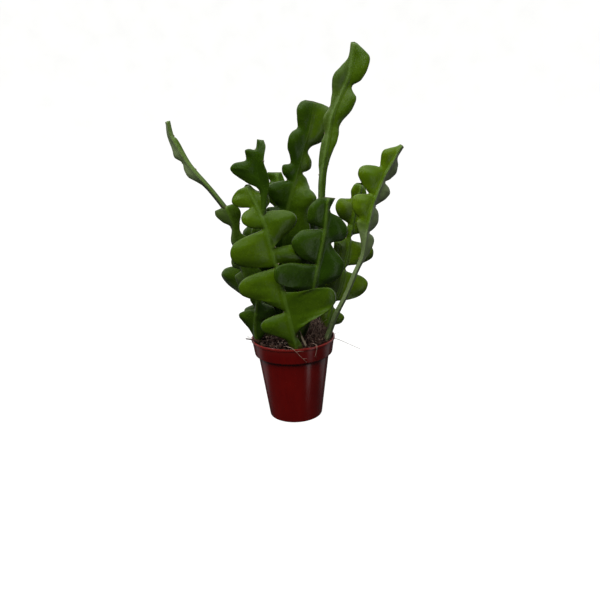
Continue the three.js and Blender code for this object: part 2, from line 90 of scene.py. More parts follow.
# %% [markdown]
# ## Sockets that do sums
#
# A material in Blender is a tree of nodes, and a sum in it is a Math node with two wires. Written
# out, ten sums fill a page. The small class below wraps one socket, so that a Python expression
# such as `1 - rib * 0.5` adds the Math nodes by itself. `Finish` holds one material's tree: its
# `node` method makes any other node, and `mix` blends two colours, which a Math node would turn
# grey.

# %% The class that wraps a socket
class Wire:
    def __init__(self, finish, socket):
        self.finish = finish
        self.socket = socket

    def __add__(self, other):
        return self.finish.math("ADD", self, other)

    def __radd__(self, other):
        return self.finish.math("ADD", other, self)

    def __sub__(self, other):
        return self.finish.math("SUBTRACT", self, other)

    def __rsub__(self, other):
        return self.finish.math("SUBTRACT", other, self)

    def __mul__(self, other):
        return self.finish.math("MULTIPLY", self, other)

    def __rmul__(self, other):
        return self.finish.math("MULTIPLY", other, self)

# %% The class that holds a material's tree
class Finish:
    def __init__(self, name, **uniform):
        self.material = bpy.data.materials.new(name)
        self.material.use_nodes = True
        self.tree = self.material.node_tree
        self.tree.nodes.clear()
        self.shader = self.tree.nodes.new("ShaderNodeBsdfPrincipled")
        out = self.tree.nodes.new("ShaderNodeOutputMaterial")
        self.tree.links.new(self.shader.outputs["BSDF"], out.inputs["Surface"])
        for socket, value in uniform.items():
            self.shader.inputs[socket.replace("_", " ")].default_value = value

    def node(self, kind, settings=None, inputs=None, output=0):
        made = self.tree.nodes.new(kind)
        for key, value in (settings or {}).items():
            if key == "stops":
                self.set_stops(made.color_ramp, value)
            else:
                setattr(made, key, value)
        for key, value in (inputs or {}).items():
            self.feed(made.inputs[key], value)
        return Wire(self, made.outputs[output])

    def feed(self, socket, value):
        if isinstance(value, Wire):
            self.tree.links.new(value.socket, socket)
        elif socket.type == "RGBA":
            socket.default_value = (*value, 1)
        else:
            socket.default_value = value

    def set_stops(self, ramp, stops):
        while len(ramp.elements) < len(stops):
            ramp.elements.new(1)
        for element, (place, colour) in zip(ramp.elements, stops):
            element.position = place
            element.color = (*colour, 1)

    def math(self, operation, a, b):
        return self.node("ShaderNodeMath", {"operation": operation}, {0: a, 1: b})

    def mix(self, share, a, b):
        return self.node("ShaderNodeMix", {"data_type": "RGBA"}, {0: share, 6: a, 7: b}, 2)

    def place(self, stretch=(1, 1, 1)):
        here = self.node("ShaderNodeTexCoord", output="Object")
        settings = {"operation": "MULTIPLY"}
        return self.node("ShaderNodeVectorMath", settings, {0: here, 1: stretch})

    def noise(self, size_mm, detail, roughness, stretch=(1, 1, 1), distortion=0.0):
        inputs = {"Vector": self.place(stretch), "Scale": 1 / (size_mm * MM), "Detail": detail,
                  "Roughness": roughness, "Distortion": distortion}
        return self.node("ShaderNodeTexNoise", None, inputs)

    def ramp(self, share, *stops):
        return self.node("ShaderNodeValToRGB", {"stops": stops}, {0: share})

    def between(self, value, low, high):
        inputs = {"Value": value, "From Min": low, "From Max": high}
        return self.node("ShaderNodeMapRange", {"interpolation_type": "SMOOTHSTEP"}, inputs)

    def own(self, attribute):
        return self.node("ShaderNodeAttribute", {"attribute_name": attribute}, output="Fac")

    def surface(self, height=None, depth_mm=None, **sockets):
        for socket, value in sockets.items():
            self.feed(self.shader.inputs[socket.replace("_", " ")], value)
        if height is not None:
            inputs = {"Height": height, "Distance": depth_mm * MM}
            self.feed(self.shader.inputs["Normal"], self.node("ShaderNodeBump", None, inputs))
        return self.material

print("sums such as 1 - wire now add Math nodes")

# %% [markdown]
# ## Making a mesh piece
#
# Every piece below ends as a list of points and a list of faces. One helper turns them into an
# object, in metres, smooth-shaded, with its material and the imported nodes it stands for. Numbers
# that the material needs at each point, such as how near it is to the midrib, go along as
# attributes. Nearly all of the shapes are rings of points with faces between them, so a few short
# functions count out those faces.

# %% Helpers that turn points and faces into a piece
def new_mesh(name, points, faces):
    mesh = bpy.data.meshes.new(name)
    mesh.from_pydata((np.asarray(points, float) * MM).tolist(), [], [list(f) for f in faces])
    return mesh

def add_piece(name, points, faces, material, slot, stands_for=(), smooth=True, **numbers):
    mesh = new_mesh(name, points, faces)
    mesh.validate()
    if smooth:
        mesh.shade_smooth()
    else:
        mesh.shade_flat()
    for key, values in numbers.items():
        attribute = mesh.attributes.new(key, "FLOAT", "POINT")
        attribute.data.foreach_set("value", np.asarray(values, np.float32))
    mesh.materials.append(material)
    piece = add_object(name, mesh)
    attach(piece, "root")
    if stands_for:
        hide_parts(*stands_for)
    return piece

def triangles(piece):
    return sum(len(p.vertices) - 2 for p in piece.data.polygons)

# %% Faces between rings of points
def band(low, high, size):
    """Faces between two rings of points, whose numbers start at low and at high."""
    return [(low + i, low + (i + 1) % size, high + (i + 1) % size, high + i) for i in range(size)]

def tube(count, size, start=0):
    starts = range(start, start + (count - 1) * size, size)
    return [face for low in starts for face in band(low, low + size, size)]

def capped_tube(count, size):
    last = (count - 1) * size
    return tube(count, size) + [tuple(range(size))[::-1], tuple(range(last, last + size))]

def zipped_tube(count, size, start=0):
    """A flat tube, whose ends are closed by a row of faces from its front to its back."""
    faces = tube(count, size, start)
    last = start + (count - 1) * size
    for i in range(size // 2):
        a, b, c, d = i, i + 1, (size - i - 1) % size, (size - i) % size
        faces.append([start + v for v in dict.fromkeys((a, d, c, b))])
        faces.append([last + v for v in dict.fromkeys((a, b, c, d))])
    return faces

# %% [markdown]
# ## The stems' measurements
#
# Each stem follows a midrib, a curve through places [x, y, z] in millimetres, from the mix
# upwards. `turn` is how far its face turns from the front, in degrees, at its foot and its top.
# `left` and `right` are its outlines seen from the front, as [along the midrib, out from it, lift
# towards the front]; a notch is where the outline comes closest to the midrib. These are the
# measurements of the imported solids, so the finer stems made here stand where those do. Only the
# foot of the left stem's shoot is fitted a little more closely.
#
# The other values steer the ridge and the finish. `clear_rib` is how high the midrib's ridge
# rises, and `ribbed_to` where its lighter line ends. One pair tells how yellow-green the left and
# the right lobes are: young growth, and also painted light where a lobe is lit from behind or
# faces away from the lamps. Another pair tells how grey they are: real wax, and also a painted
# grey sheen on lobes that tilt away, and on one stem both sides get it up to a given station. One
# value is how much painted shade darkens a stem's foot, for the shade of the other stems, and
# `healed` is 0 for a top without a scar.

# %% Stems at the front
STEMS = {
    "stem_front": {
        "turn": (0, 0), "fresh": (0.5, 0.4), "wax": (0.15, 0.1), "sheltered": 0,
        "midrib": [[2, -22, 54], [0, -24, 66], [-4, -23, 86.5], [-8, -21, 105.5],
                   [-14, -19, 131], [-16, -17, 137], [-24, -11, 154]],
        "left": [[0, 4, 0], [6.5, 6, 0], [12.5, 12, 3], [16, 17, 4], [20, 18, 4], [23, 15, 4],
                 [24, 9, 2], [24.5, 2.4, 0], [30, 8, 2], [35, 13.5, 4], [38, 20, 5],
                 [42, 24.5, 6], [46.5, 25, 6], [50, 22, 6], [52, 16.5, 5], [52.3, 9, 3],
                 [52.4, 1, 0], [54.5, 8.3, 3], [57.5, 17, 5], [61, 22.5, 7], [66, 24, 8],
                 [71, 22.5, 8], [74, 18.5, 7], [75.5, 11.5, 5], [76.7, 2.2, 0], [79.5, 8.5, 3],
                 [83, 11.5, 4], [87.5, 11.3, 4], [90.5, 8.5, 3], [91.7, 4.5, 1], [95, 10, 3],
                 [99, 12, 4], [102, 10, 4], [104, 6, 4], [105, 2, 0]],
        "right": [[0, 4, 0], [7.5, 2, 0], [12.5, 5, 3], [16, 10.5, 5], [17.5, 17, 4],
                  [19.5, 24.5, 2], [23, 29.6, -1], [28, 31, -1], [32, 29, 0], [34.3, 22.5, 2],
                  [35, 15.5, 4], [35.5, 7.5, 3], [37.5, 1, 0], [54, 1, 0], [49.5, 12, -9],
                  [50, 22, -14], [56, 25, -14], [62, 14, -8], [64.5, 2.5, 0], [68, 7.5, -3],
                  [71, 13.5, -5], [73.5, 17.5, -6], [77, 19.5, -6], [81, 18.5, -5],
                  [83.3, 14.5, -4], [85, 8.5, -2], [86.3, 3, 0], [90, 8, -1], [96, 8.5, -1],
                  [100, 4, -1], [105, 2, 0]],
        "shoot": {
            "turn": (0, 0), "fresh": (0.1, 0.1), "wax": (0, 0),
            "ribbed_to": 20, "clear_rib": 0.5,
            "midrib": [[-15, -17, 134], [-14, -16, 145], [-14, -15, 153], [-16, -14, 161],
                       [-16, -13, 171], [-14, -12, 180]],
            "left": [[0, 2, 0], [16, 2, 0], [25, 9, 2], [29, 15, 4], [31, 16, 4], [33, 14, 4],
                     [34.8, 7, 2], [36.5, 6.8, 2], [39.2, 7.8, 3], [40.4, 5.5, 2], [40.8, 2, 0],
                     [47, 2, 0]],
            "right": [[0, 2, 0], [13, 2.5, 3], [24, 5.5, 6], [34, 4, 6], [43, 4, 5], [47, 2, 2]],
        },
    },
    "stem_front_right": {
        "turn": (0, 0), "fresh": (0.12, 0.02), "wax": (0.0, 0.04), "sheltered": 0,
        "midrib": [[5, -10, 57], [8, -11, 65], [12, -12, 76], [16, -12, 97], [22, -10, 122],
                   [25.3, -8, 144.5]],
        "left": [[0, 3, 0], [18, 3, 0], [30, 2, 0], [32, 9, 7], [35, 16, 14], [37, 22, 18],
                 [40, 25.5, 19], [44, 26, 18], [47.5, 19, 13], [48, 9, 5], [48.5, 2, 0],
                 [51, 12, 5], [59, 19, 8], [68, 15, 5], [71, 2, 0], [74, 11, 3], [79, 12, 4],
                 [84, 11, 4], [90.5, 5, 1]],
        "right": [[0, 3, 0], [18, 3, 0], [34, 2, 0], [38, 10, -2], [43, 15.5, -3],
                  [52, 16.5, -4], [56, 13, -3], [59.5, 8.5, -2], [63, 5.5, -1], [66, 12.5, -3],
                  [70, 14.5, -4], [74, 13.5, -4], [79, 8, -2], [82, 2, 0], [90.5, 4.5, -1]],
        "shoot": {
            "turn": (0, 0), "fresh": (0.45, 0.45), "wax": (0.4, 0.2),
            "midrib": [[21, -8, 140], [21, -7, 152], [23, -5, 164], [26, -2, 178], [29, 1, 191],
                       [36, 5, 206], [40, 6, 214], [44, 8, 234]],
            "left": [[0, 2, 0], [18, 1.8, 0], [24, 3, 0], [32, 3.6, 1], [38, 3.4, 1],
                     [43, 2.5, 0], [51, 5, 2], [58, 3.5, 1], [65, 5.2, 1], [74, 9, 3],
                     [79, 8.8, 3], [84, 6.2, 2], [90, 2.5, 1], [99, 2, 0]],
            "right": [[0, 2, 0], [12, 3, 0], [25, 3, 0], [38, 5.5, 2], [44, 6.2, 1], [50, 6, 0],
                      [61, 9.5, 3], [69, 9, 4], [75, 4, 1], [79, 7.5, 4], [85, 10, 5],
                      [91.5, 10, 4], [95, 6.5, 3], [99, 2, 0]],
        },
    },
    "stem_left": {
        "turn": (-25, -15), "fresh": (0.35, 0.3), "wax": (0.5, 0.3), "sheltered": 0.15,
        "healed": 0,
        "midrib": [[-17, 6, 56], [-26, 5, 84], [-31, 3, 103], [-34, 1, 117], [-34, 0, 129],
                   [-38, -2, 141]],
        "left": [[0, 2, 0], [26, 2, 0], [35, 7, 1], [42, 7, 1], [45, 2, 0], [49, 6, 2],
                 [54, 5, 2], [58, 1, 0], [65, 2, 2], [74, 2, 1], [80, 5.5, 3], [86, 7.3, 4],
                 [90, 6, 3]],
        "right": [[0, 2, 0], [20, 4, 0], [39, 11, -2], [46, 8, -2], [51, 3, 0], [58, 12, -2],
                  [66, 12, -2], [71, 4, 0], [76, 4, 0], [82, 7, -1], [90, 5, -1]],
        "shoot": {
            "turn": (0, 0), "fresh": (0.3, 0.45), "wax": (0.95, 0.3),
            "midrib": [[-38.4, -0.9, 139.4], [-45, -2.6, 149.2], [-51, -3, 157], [-56, -2, 163],
                       [-61, 0, 170], [-65, 2, 177], [-69, 4, 184], [-71, 6, 193]],
            "left": [[0, 2, 0], [22, 2.5, 0], [29, 5, 1], [33, 4.5, 1], [38, 3, 0], [43, 5, 1],
                     [47, 4, 1], [53, 3, 0], [60, 2, 0], [66, 1, 0]],
            "right": [[0, 1.5, 0], [30, 1.5, 0], [43, 2, 0], [52, 2.5, 1], [55, 1, 0],
                      [66, 1, 0]],
        },
    },
    "stem_left_low": {
        "turn": (-20, -20), "fresh": (0.25, 0.1), "wax": (0.2, 0), "sheltered": 0.15,
        "midrib": [[-23, -5, 54], [-23, -7, 68], [-21, -8, 80], [-20, -8, 90]],
        "left": [[0, 2, 0], [4, 3.2, 0], [7, 5, 0], [12, 9, 1], [16, 11.5, 2], [20, 6, 1],
                 [21.5, 2, 0], [28, 5, 2], [36, 2, 0]],
        "right": [[0, 2, 0], [3, 5, 0], [9.5, 6.8, 0], [14.5, 5.3, 0], [18, 9, 2], [23, 13, 3],
                  [26, 12, 3], [28, 2, 0], [36, 2, 0]],
    },
}

# %% Stems at the right
STEMS["stem_right"] = {
    "turn": (0, 0), "fresh": (0.95, 0.5), "wax": (0.05, 0.95), "sheltered": 0,
    "waxy_to": 84,
    "midrib": [[21.5, -7.8, 53], [28.6, -8, 70.6], [35.3, -7.5, 83.4], [40.9, -6.5, 96],
               [45.8, -5, 106.2], [49, -3, 120.6], [53.8, 1, 137.6], [60.8, 6, 152.8],
               [69.8, 10, 167.3], [73.4, 11, 173]],
    "left": [[0, 2, 0], [57, 1.5, 0], [64.5, 2, 0], [69, 3.3, 1], [74.3, 5.8, 2], [78.9, 8, 2],
             [81.8, 7.2, 2], [83.5, 10, 3], [86.3, 12.8, 4], [89.3, 14, 4], [92.1, 14.1, 4],
             [94.3, 11.6, 3], [96.3, 6.7, 2], [97.3, 5.5, 1], [98.3, 7.5, 2], [101.2, 12.9, 3],
             [104.3, 16.4, 4], [107.3, 17.2, 4], [110.2, 15.8, 3], [113.6, 9.2, 2],
             [114.8, 6, 1], [117.5, 7.1, 1], [121.4, 8.9, 2], [124.7, 8.9, 2], [127.7, 6.5, 1],
             [131.4, 2.9, 0], [134, 1, 0]],
    "right": [[0, 2, 0], [56.5, 2, 0], [61.6, 3.9, -2], [65.6, 5.6, -3], [70, 6, -4],
              [72.8, 4.5, -3], [74.4, 1.7, -1], [77, 4, -3], [81.4, 6.3, -4], [85.2, 6.1, -4],
              [89.3, 4.4, -3], [91.5, 1.7, -1], [95.3, 4.3, -3], [100.3, 7.4, -4],
              [104.4, 8.5, -5], [107, 6.5, -4], [108.3, 2, -1], [112.5, 4.5, -3],
              [118, 6.2, -4], [122.4, 5, -4], [125.7, 2, -2], [134, 1, 0]],
}
STEMS["stem_right_inner"] = {
    "turn": (25, 25), "fresh": (0.85, 0.95), "wax": (0.05, 0.05), "sheltered": 0,
    "midrib": [[20.5, 4, 56], [25, 6, 70], [31, 8, 82], [36, 11, 101], [42, 16, 130],
               [48, 21, 150]],
    "left": [[0, 2, 0], [5, 4, 0], [11, 6, 1], [15, 4, 1], [19, 3, 0], [23, 8, 2], [28, 12, 3],
             [36, 12.5, 3], [41, 7, 2], [43, 1, 0], [45.5, 9, 2], [53, 11.5, 3], [59.5, 12, 3],
             [61.8, 9, 1], [63, 2, 0], [68, 5, 2], [72, 2, 0], [74.5, 11, 3], [78, 16, 5],
             [81, 17, 5], [84.8, 15, 4], [87, 8, 1], [88.5, 4, 0], [93, 6, 1], [97, 5, 1],
             [99, 3, 0]],
    "right": [[0, 2, 0], [4, 5, 1], [6.5, 10, 2], [10.5, 12, 2], [13, 10.5, 2], [15, 6, 1],
              [17, 2, 0], [20, 1, 0], [25, 8, 3], [29, 15.5, 4], [33, 18, 5], [37, 17.5, 5],
              [40, 13, 4], [42, 2, 0], [44.5, 2, 0], [46.8, 8, 2], [48.5, 12, 3],
              [53.5, 18.3, 4], [58.5, 17.5, 4], [61, 12, 2], [62.5, 2, 0], [65, 2.5, 0],
              [69, 10, 3], [75, 12, 4], [78, 7, 1], [84, 9.5, 3], [90, 7.5, 2], [96, 5, 1],
              [99, 3, 0]],
}

# %% Stems at the back
STEMS["stem_centre_back"] = {
    "turn": (0, 8), "fresh": (0.1, 0.4), "wax": (0, 0), "sheltered": 0.85,
    "ribbed_to": 112, "clear_rib": 0.35,
    "midrib": [[-6, 8, 55], [-6, 8, 61], [-5, 9, 83], [-4, 11, 110], [0, 14, 137],
               [9, 18, 165], [17, 22, 191], [19, 24, 202]],
    "left": [[0, 2.5, 0], [5, 6, 0], [10, 7, 0], [14, 7, 0], [17, 12, 0], [24, 15, -1],
             [31, 14, 0], [38, 7, 0], [42, 14, 2], [47, 16, 3], [54, 15, 4], [62, 12, 2],
             [66, 4, 0], [72, 9, 2], [77, 13, 2], [80, 13, 2], [82, 7, 1], [84, 10, 3],
             [88, 15, 4], [92, 16, 4], [97, 9, 2], [99, 5, 0], [102, 9, 2], [105, 10.3, 2],
             [107.3, 10, 2], [109.8, 6, 1], [114.6, 8, 2], [118.5, 10.5, 3], [123, 11.5, 4],
             [128.5, 10.5, 3], [132.5, 7.5, 1], [138, 9.2, 2], [144, 10.4, 3], [149, 8.5, 2],
             [151, 5.5, 1]],
    "right": [[0, 2.5, 0], [18, 3, 0], [24, 11, 2], [31, 14, 3], [37, 11, 2], [40, 8, 1],
              [43, 15, 1], [47, 17.5, 1], [58, 16, 3], [67, 17, 2], [74.5, 15.5, 1],
              [81, 14.5, 1], [87, 15, 3], [93, 16.5, 4], [96, 14, 3], [97.9, 11, 1],
              [99.7, 10.3, -1], [101.9, 8.8, -2], [104, 7, -2], [106.4, 3.8, -1], [108, 6, -2],
              [110.7, 8.2, -3], [114.5, 8, -3], [117.5, 5.5, -2], [120, 3.5, -1], [124, 5, -2],
              [128, 10, -3], [136, 15.5, -5], [146, 15.5, -5], [149.7, 12, -4], [151, 7, -2]],
}
STEMS["stem_left_back"] = {
    "turn": (-40, -40), "fresh": (0.35, 0.2), "wax": (0, 0), "sheltered": 0.3,
    "midrib": [[-18, 14, 55], [-22, 16, 75], [-23, 17, 89], [-23, 17, 108], [-22, 17, 126]],
    "left": [[0, 2.5, 0], [5, 3, 0], [11, 13, 2], [15, 14, 2], [19, 4, 0], [21.7, 6, 1],
             [23.6, 11.5, 2], [26.3, 17.5, 2], [30, 24.5, 3], [34, 28.5, 4], [37, 28.7, 5],
             [40.3, 26, 4], [42.5, 18.6, 3], [43.2, 10, 2], [44, 2, 0], [52, 4, 1], [58, 9, 1],
             [66, 10, 1], [70.5, 6, 0]],
    "right": [[0, 2.5, 0], [12, 3, 0], [19, 5, -1], [29, 5, -2], [37, 4, -1], [41, 6, -2],
              [46, 11, -2], [53, 9, -2], [58, 6, -1], [65, 8, -2], [70.5, 5.5, -1]],
}
STEMS["stem_back"] = {
    "turn": (20, 15), "fresh": (0.2, 0.2), "wax": (0, 0), "sheltered": 0.8,
    "midrib": [[-6, 18, 55], [-6, 21, 80], [-6, 26, 107], [-6, 31, 130], [-7, 38, 158]],
    "left": [[0, 2.5, 0], [11, 2.5, 0], [16, 8, 2], [31, 9, 2], [37, 6, 1], [45, 13, 3],
             [53, 13, 3], [60, 3, 0], [66, 11, 3], [74, 12, 3], [81, 3, 0], [88, 11, 3],
             [95, 11, 3], [99, 5, 0], [104, 7, 1], [106, 5, 1]],
    "right": [[0, 2.5, 0], [17, 3, 0], [24, 9, 3], [32, 9, 3], [39, 3, 0], [44, 13, 3],
              [53, 16, 3], [57, 4, 0], [61, 16, 3], [66, 20, 4], [70, 13, 3], [73, 3, 0],
              [78, 11, 3], [86, 12, 3], [89, 2, 0], [96, 5, 2], [106, 3, 1]],
}
STEMS["stem_back_right"] = {
    "turn": (20, 65), "fresh": (0.25, 0.25), "wax": (0, 0), "sheltered": 0.9,
    "midrib": [[9, 15, 56], [15, 25, 80], [19, 34, 106], [20, 44, 132]],
    "left": [[0, 2.5, 0], [14, 3, 0], [22, 7, -2], [30, 8, -3], [37, 3, 0], [45, 8, -3],
             [54, 9, -3], [62, 4, 0], [67, 10, -2], [74, 10, -2], [86, 3, 0]],
    "right": [[0, 2.5, 0], [4, 9, 0], [10, 13, 1], [16, 12, 1], [20, 9, 1], [26, 11, 3],
              [33, 11, 3], [39, 3, 0], [46, 10, 3], [54, 11, 3], [61, 3, 0], [68, 10, 3],
              [75, 9, 3], [86, 2, 0]],
}
print("stems measured:", len(STEMS))

# %% [markdown]
# ## Smooth curves through a few places
#
# The measurements are few, so a curve fills in between them. This one is a Catmull-Rom spline of
# the centripetal kind: it passes through every place, and it doesn't overshoot where two places
# lie close together, as the tips of the lobes do. A midrib also needs to know, at each distance
# along it, which way the stem faces there and which way is sideways.

# %% Curves
ROOT_LENGTH = 12
ROOT_INWARD = 0.76
ARC_STEPS = 400
NEAR = 1e-4
ALMOST_NONE = 1e-8

def curve_at(places, shares):
    """Points of the curve through places, at shares of its length counted in places."""
    places = np.asarray(places, float)
    last = len(places) - 1
    whole = np.clip(np.asarray(shares, float), 0, 1) * last
    k = np.minimum(whole.astype(int), last - 1)
    ends = np.vstack([2 * places[0] - places[1], places, 2 * places[-1] - places[-2]])
    p0, p1, p2, p3 = (ends[k + i] for i in range(4))
    d0, d1, d2 = (np.maximum(np.linalg.norm(b - a, axis=1), ALMOST_NONE)[:, None] ** 0.5
                  for a, b in ((p0, p1), (p1, p2), (p2, p3)))
    m1 = ((p1 - p0) / d0 - (p2 - p0) / (d0 + d1) + (p2 - p1) / d1) * d1
    m2 = ((p2 - p1) / d1 - (p3 - p1) / (d1 + d2) + (p3 - p2) / d2) * d1
    t = (whole - k)[:, None]
    cubic = 2 * p1 - 2 * p2 + m1 + m2
    square = -3 * p1 + 3 * p2 - 2 * m1 - m2
    return p1 + m1 * t + square * t ** 2 + cubic * t ** 3

def unit(vectors):
    return vectors / np.linalg.norm(vectors, axis=-1, keepdims=True)

# %% Midrib
class Midrib:
    """Place, facing and side of a stem at stations, in millimetres along its midrib."""

    def __init__(self, stem, rooted):
        places = [list(p) for p in stem["midrib"]]
        if rooted:
            x, y, z = places[0]
            places.insert(0, [x * ROOT_INWARD, y * ROOT_INWARD, z - ROOT_LENGTH])
        self.places = places
        self.turn = stem["turn"]
        self.shares = np.linspace(0, 1, ARC_STEPS + 1)
        steps = np.linalg.norm(np.diff(curve_at(places, self.shares), axis=0), axis=1)
        self.lengths = np.concatenate([[0], np.cumsum(steps)])
        root_end = round(ARC_STEPS / (len(places) - 1)) if rooted else 0
        self.start = -self.lengths[root_end]
        self.end = self.lengths[-1] + self.start

    def at(self, stations):
        along = np.clip(np.asarray(stations, float) - self.start, 0, self.lengths[-1])
        share = np.interp(along, self.lengths, self.shares)
        tangent = unit(curve_at(self.places, share + NEAR) - curve_at(self.places, share - NEAR))
        turn = np.radians(self.turn[0] + (self.turn[1] - self.turn[0]) * along / self.lengths[-1])
        facing = np.stack([np.sin(turn), -np.cos(turn), np.zeros_like(turn)], axis=1)
        facing = unit(facing - (facing * tangent).sum(1, keepdims=True) * tangent)
        return curve_at(self.places, share), facing, np.cross(tangent, facing)

print("front stem is", round(Midrib(STEMS["stem_front"], True).end, 1), "mm long")

# %% [markdown]
# ## From an outline to a lobed blade
#
# A stem is built like a ladder. Each rung runs from a station on the midrib to a point of the
# outline, and between two notches the rungs fan out, so that one lobe keeps its own rungs. The
# flesh is thick along the midrib and rounds off at the margin, as it does on the real plant, so
# the thickness of every point comes from its distance to the margin and to the midrib, measured
# with the blade laid flat. A sheet with a Solidify modifier would be quicker, but its edge would
# be square.

# %% Outline of one side
NARROWEST = 1.6

def rung_ends(points, stations):
    """The outline points that belong to stations on the midrib, and the outline's notches."""
    points = np.asarray(points, float)
    out = points[:, 1]
    last = len(points) - 1
    notches = [0] + [i for i in range(1, last)
                     if out[i] <= out[i - 1] and out[i] <= out[i + 1]] + [last]
    roots = np.interp(np.arange(last + 1), notches, points[notches, 0])
    index = np.interp(stations, roots, np.arange(last + 1))
    ends = curve_at(points, index / last)
    below = stations < points[0, 0]
    ends[below] = points[0]
    ends[below, 0] = stations[below]
    ends[:, 1] = np.maximum(ends[:, 1], NARROWEST)
    return ends, points[notches[1:-1]]

def away_from(points, line):
    """Shortest distance from each of many flat points to a line of many straight steps."""
    a, b = line[:-1], line[1:]
    step = b - a
    square = np.maximum((step ** 2).sum(1), ALMOST_NONE)
    share = ((points[:, None] - a) * step).sum(2) / square
    nearest = a + np.clip(share, 0, 1)[..., None] * step
    return np.sqrt(((points[:, None] - nearest) ** 2).sum(2)).min(1)

# %% Thickness of the flesh
EDGE_HALF = 1.1
BODY_HALF = 1.8
MARGIN_ROUND = 2.0
PLUMP_REACH = 3
RIB_RIDGE = 1.2
RIB_SPREAD = 1.1
STALK_EXTRA = 0.5
STALK_FADE = 9
THINNEST = 0.04

def half_thickness(margin, out, stations, clear_rib):
    inward = 1 - np.minimum(margin / MARGIN_ROUND, 1)
    plump = 1 - np.exp(-(margin / PLUMP_REACH) ** 2)
    ridge = RIB_RIDGE * clear_rib * np.exp(-(out / RIB_SPREAD) ** 2)
    stalk = STALK_EXTRA * np.exp(-(np.maximum(stations, 0) / STALK_FADE) ** 2)
    flesh = EDGE_HALF + (BODY_HALF - EDGE_HALF) * plump + ridge + stalk
    return np.maximum(flesh * np.sqrt(np.maximum(1 - inward ** 2, 0)), THINNEST)

# %% How far a lobe's middle stands forward of its margin and of the midrib
DOME = 1.2
DOME_REACH = 3.4
DOME_START = 9

def dome(margin, out):
    from_rib = np.minimum(out / DOME_START, 1)
    rise = from_rib ** 2 * (3 - 2 * from_rib)
    return DOME * (1 - np.exp(-(margin / DOME_REACH) ** 2)) * rise

# %% One blade
RUNG_STEP = 0.45
TOP_RUNGS = np.array([0.5, 0.32, 0]) * RUNG_STEP
BURIED = 7
ACROSS = np.array([0.05, 0.1, 0.17, 0.26, 0.36, 0.47, 0.58, 0.69, 0.79, 0.87, 0.93, 0.97, 1])
WAVE, WAVE_SIZE, WAVE_START = 0.5, 13, 5
SCALLOP, SCALLOP_SIZE, SCALLOP_START = 0.3, 4.5, 6
SIGNS = ((-1, "left"), (1, "right"))

def wave(places, size):
    return np.array([noise.noise(Vector(p) / size) for p in places])

def blade_ends(stem, midrib, stations):
    """Outer ends of the rungs on both sides, and the margin as one line round the blade."""
    ends, margins = {}, []
    for sign, key in SIGNS:
        end = rung_ends(stem[key], stations)[0]
        place, _, sideways = midrib.at(end[:, 0])
        scallop = SCALLOP * wave(place + sideways * (sign * end[:, 1:2]), SCALLOP_SIZE)
        end[:, 1] += scallop * np.minimum(end[:, 1] / SCALLOP_START, 1)
        ends[sign] = end
        margins.append(end[:, :2] * [1, sign])
    down_left, up_right = margins[0][::-1], margins[1]
    return ends, np.vstack([up_right, down_left])

def blade(stem, rooted):
    """Points and numbers of one blade, as rings that run round its front and its back."""
    midrib = Midrib(stem, rooted)
    start = -BURIED if rooted else 0
    count = math.ceil((midrib.end - start) / RUNG_STEP) + 1
    stations = np.linspace(start, midrib.end, count)
    stations[-len(TOP_RUNGS):] += TOP_RUNGS
    root, facing, _ = midrib.at(stations)
    ends, margin_line = blade_ends(stem, midrib, stations)
    clear_rib = stem.get("clear_rib", 1)
    front, back, numbers = [], [], []
    columns = [(-1, a) for a in ACROSS[::-1]] + [(1, 0.0)] + [(1, a) for a in ACROSS]
    for sign, across in columns:
        end = ends[sign]
        place, lifted, sideways = midrib.at(end[:, 0])
        edge = place + sideways * (sign * end[:, 1:2]) + lifted * end[:, 2:3]
        straight = root + (edge - root) * across
        out = end[:, 1] * across
        flat = np.column_stack([stations + (end[:, 0] - stations) * across, out * sign])
        margin = away_from(flat, margin_line)
        waves = WAVE * wave(straight, WAVE_SIZE) * np.minimum(out / WAVE_START, 1)
        middle = straight + facing * (waves + dome(margin, out))[:, None]
        half = half_thickness(margin, out, stations, clear_rib)[:, None] * (across < 1)
        front.append(middle + facing * half)
        back.append(middle - facing * half)
        numbers.append(np.column_stack([margin, out, stations, np.full(count, sign)]))
    inner = len(columns) - 1
    rings = np.stack(front + back[inner - 1:0:-1], axis=1)
    values = np.stack(numbers + numbers[inner - 1:0:-1], axis=1)
    return rings, values, midrib

# %% [markdown]
# ## The finish of the flesh
#
# A living stem is not one green. The flesh is dark and satin with a faint mottling, and the midrib
# is lighter. The thin margin is painted lighter, for the light that comes through it. Young lobes
# are yellow-green, and the same colour is painted light on lobes lit from behind; older ones carry
# a grey wax, and the same grey is painted as a sheen on lobes that tilt away. The feet of the inner
# stems get painted shade. Near the mix and where a shoot starts the skin is brown and corky, and a
# cutting's top has healed to a dry beige scar. An image could be painted on each lobe, but one
# procedural material serves all stems at any distance: it reads the numbers that each point
# carries, and noise in millimetres breaks them up.

# %% Colours of the flesh
OLD_GREENS = ((0.3, (0.0120, 0.034, 0.0006)), (0.7, (0.019, 0.050, 0.0012)))
# Yellow-greens of young growth, also used as painted light on lobes lit from behind.
YOUNG_AND_LIT_GREENS = ((0.3, (0.056, 0.114, 0.0008)), (0.72, (0.086, 0.150, 0.0018)))
RIB_GREEN = (0.070, 0.130, 0.012)
# Painted light: a lighter green where light comes through the thin margin.
MARGIN_GLOW_GREEN = (0.060, 0.095, 0.006)
REAR_GREEN = (0.060, 0.085, 0.030)
# Painted shade: the darker green on the feet of stems that the others shade.
PAINTED_SHADE_GREEN = (0.0045, 0.0125, 0.0006)
# Grey wax, also used as a painted grey sheen on lobes that tilt away.
WAX_AND_SHEEN = (0.155, 0.190, 0.100)
CORK = (0.052, 0.028, 0.010)
SPECK = (0.14, 0.16, 0.08)
SCAR = (0.105, 0.090, 0.040)
SPECKS_APART = 4.2

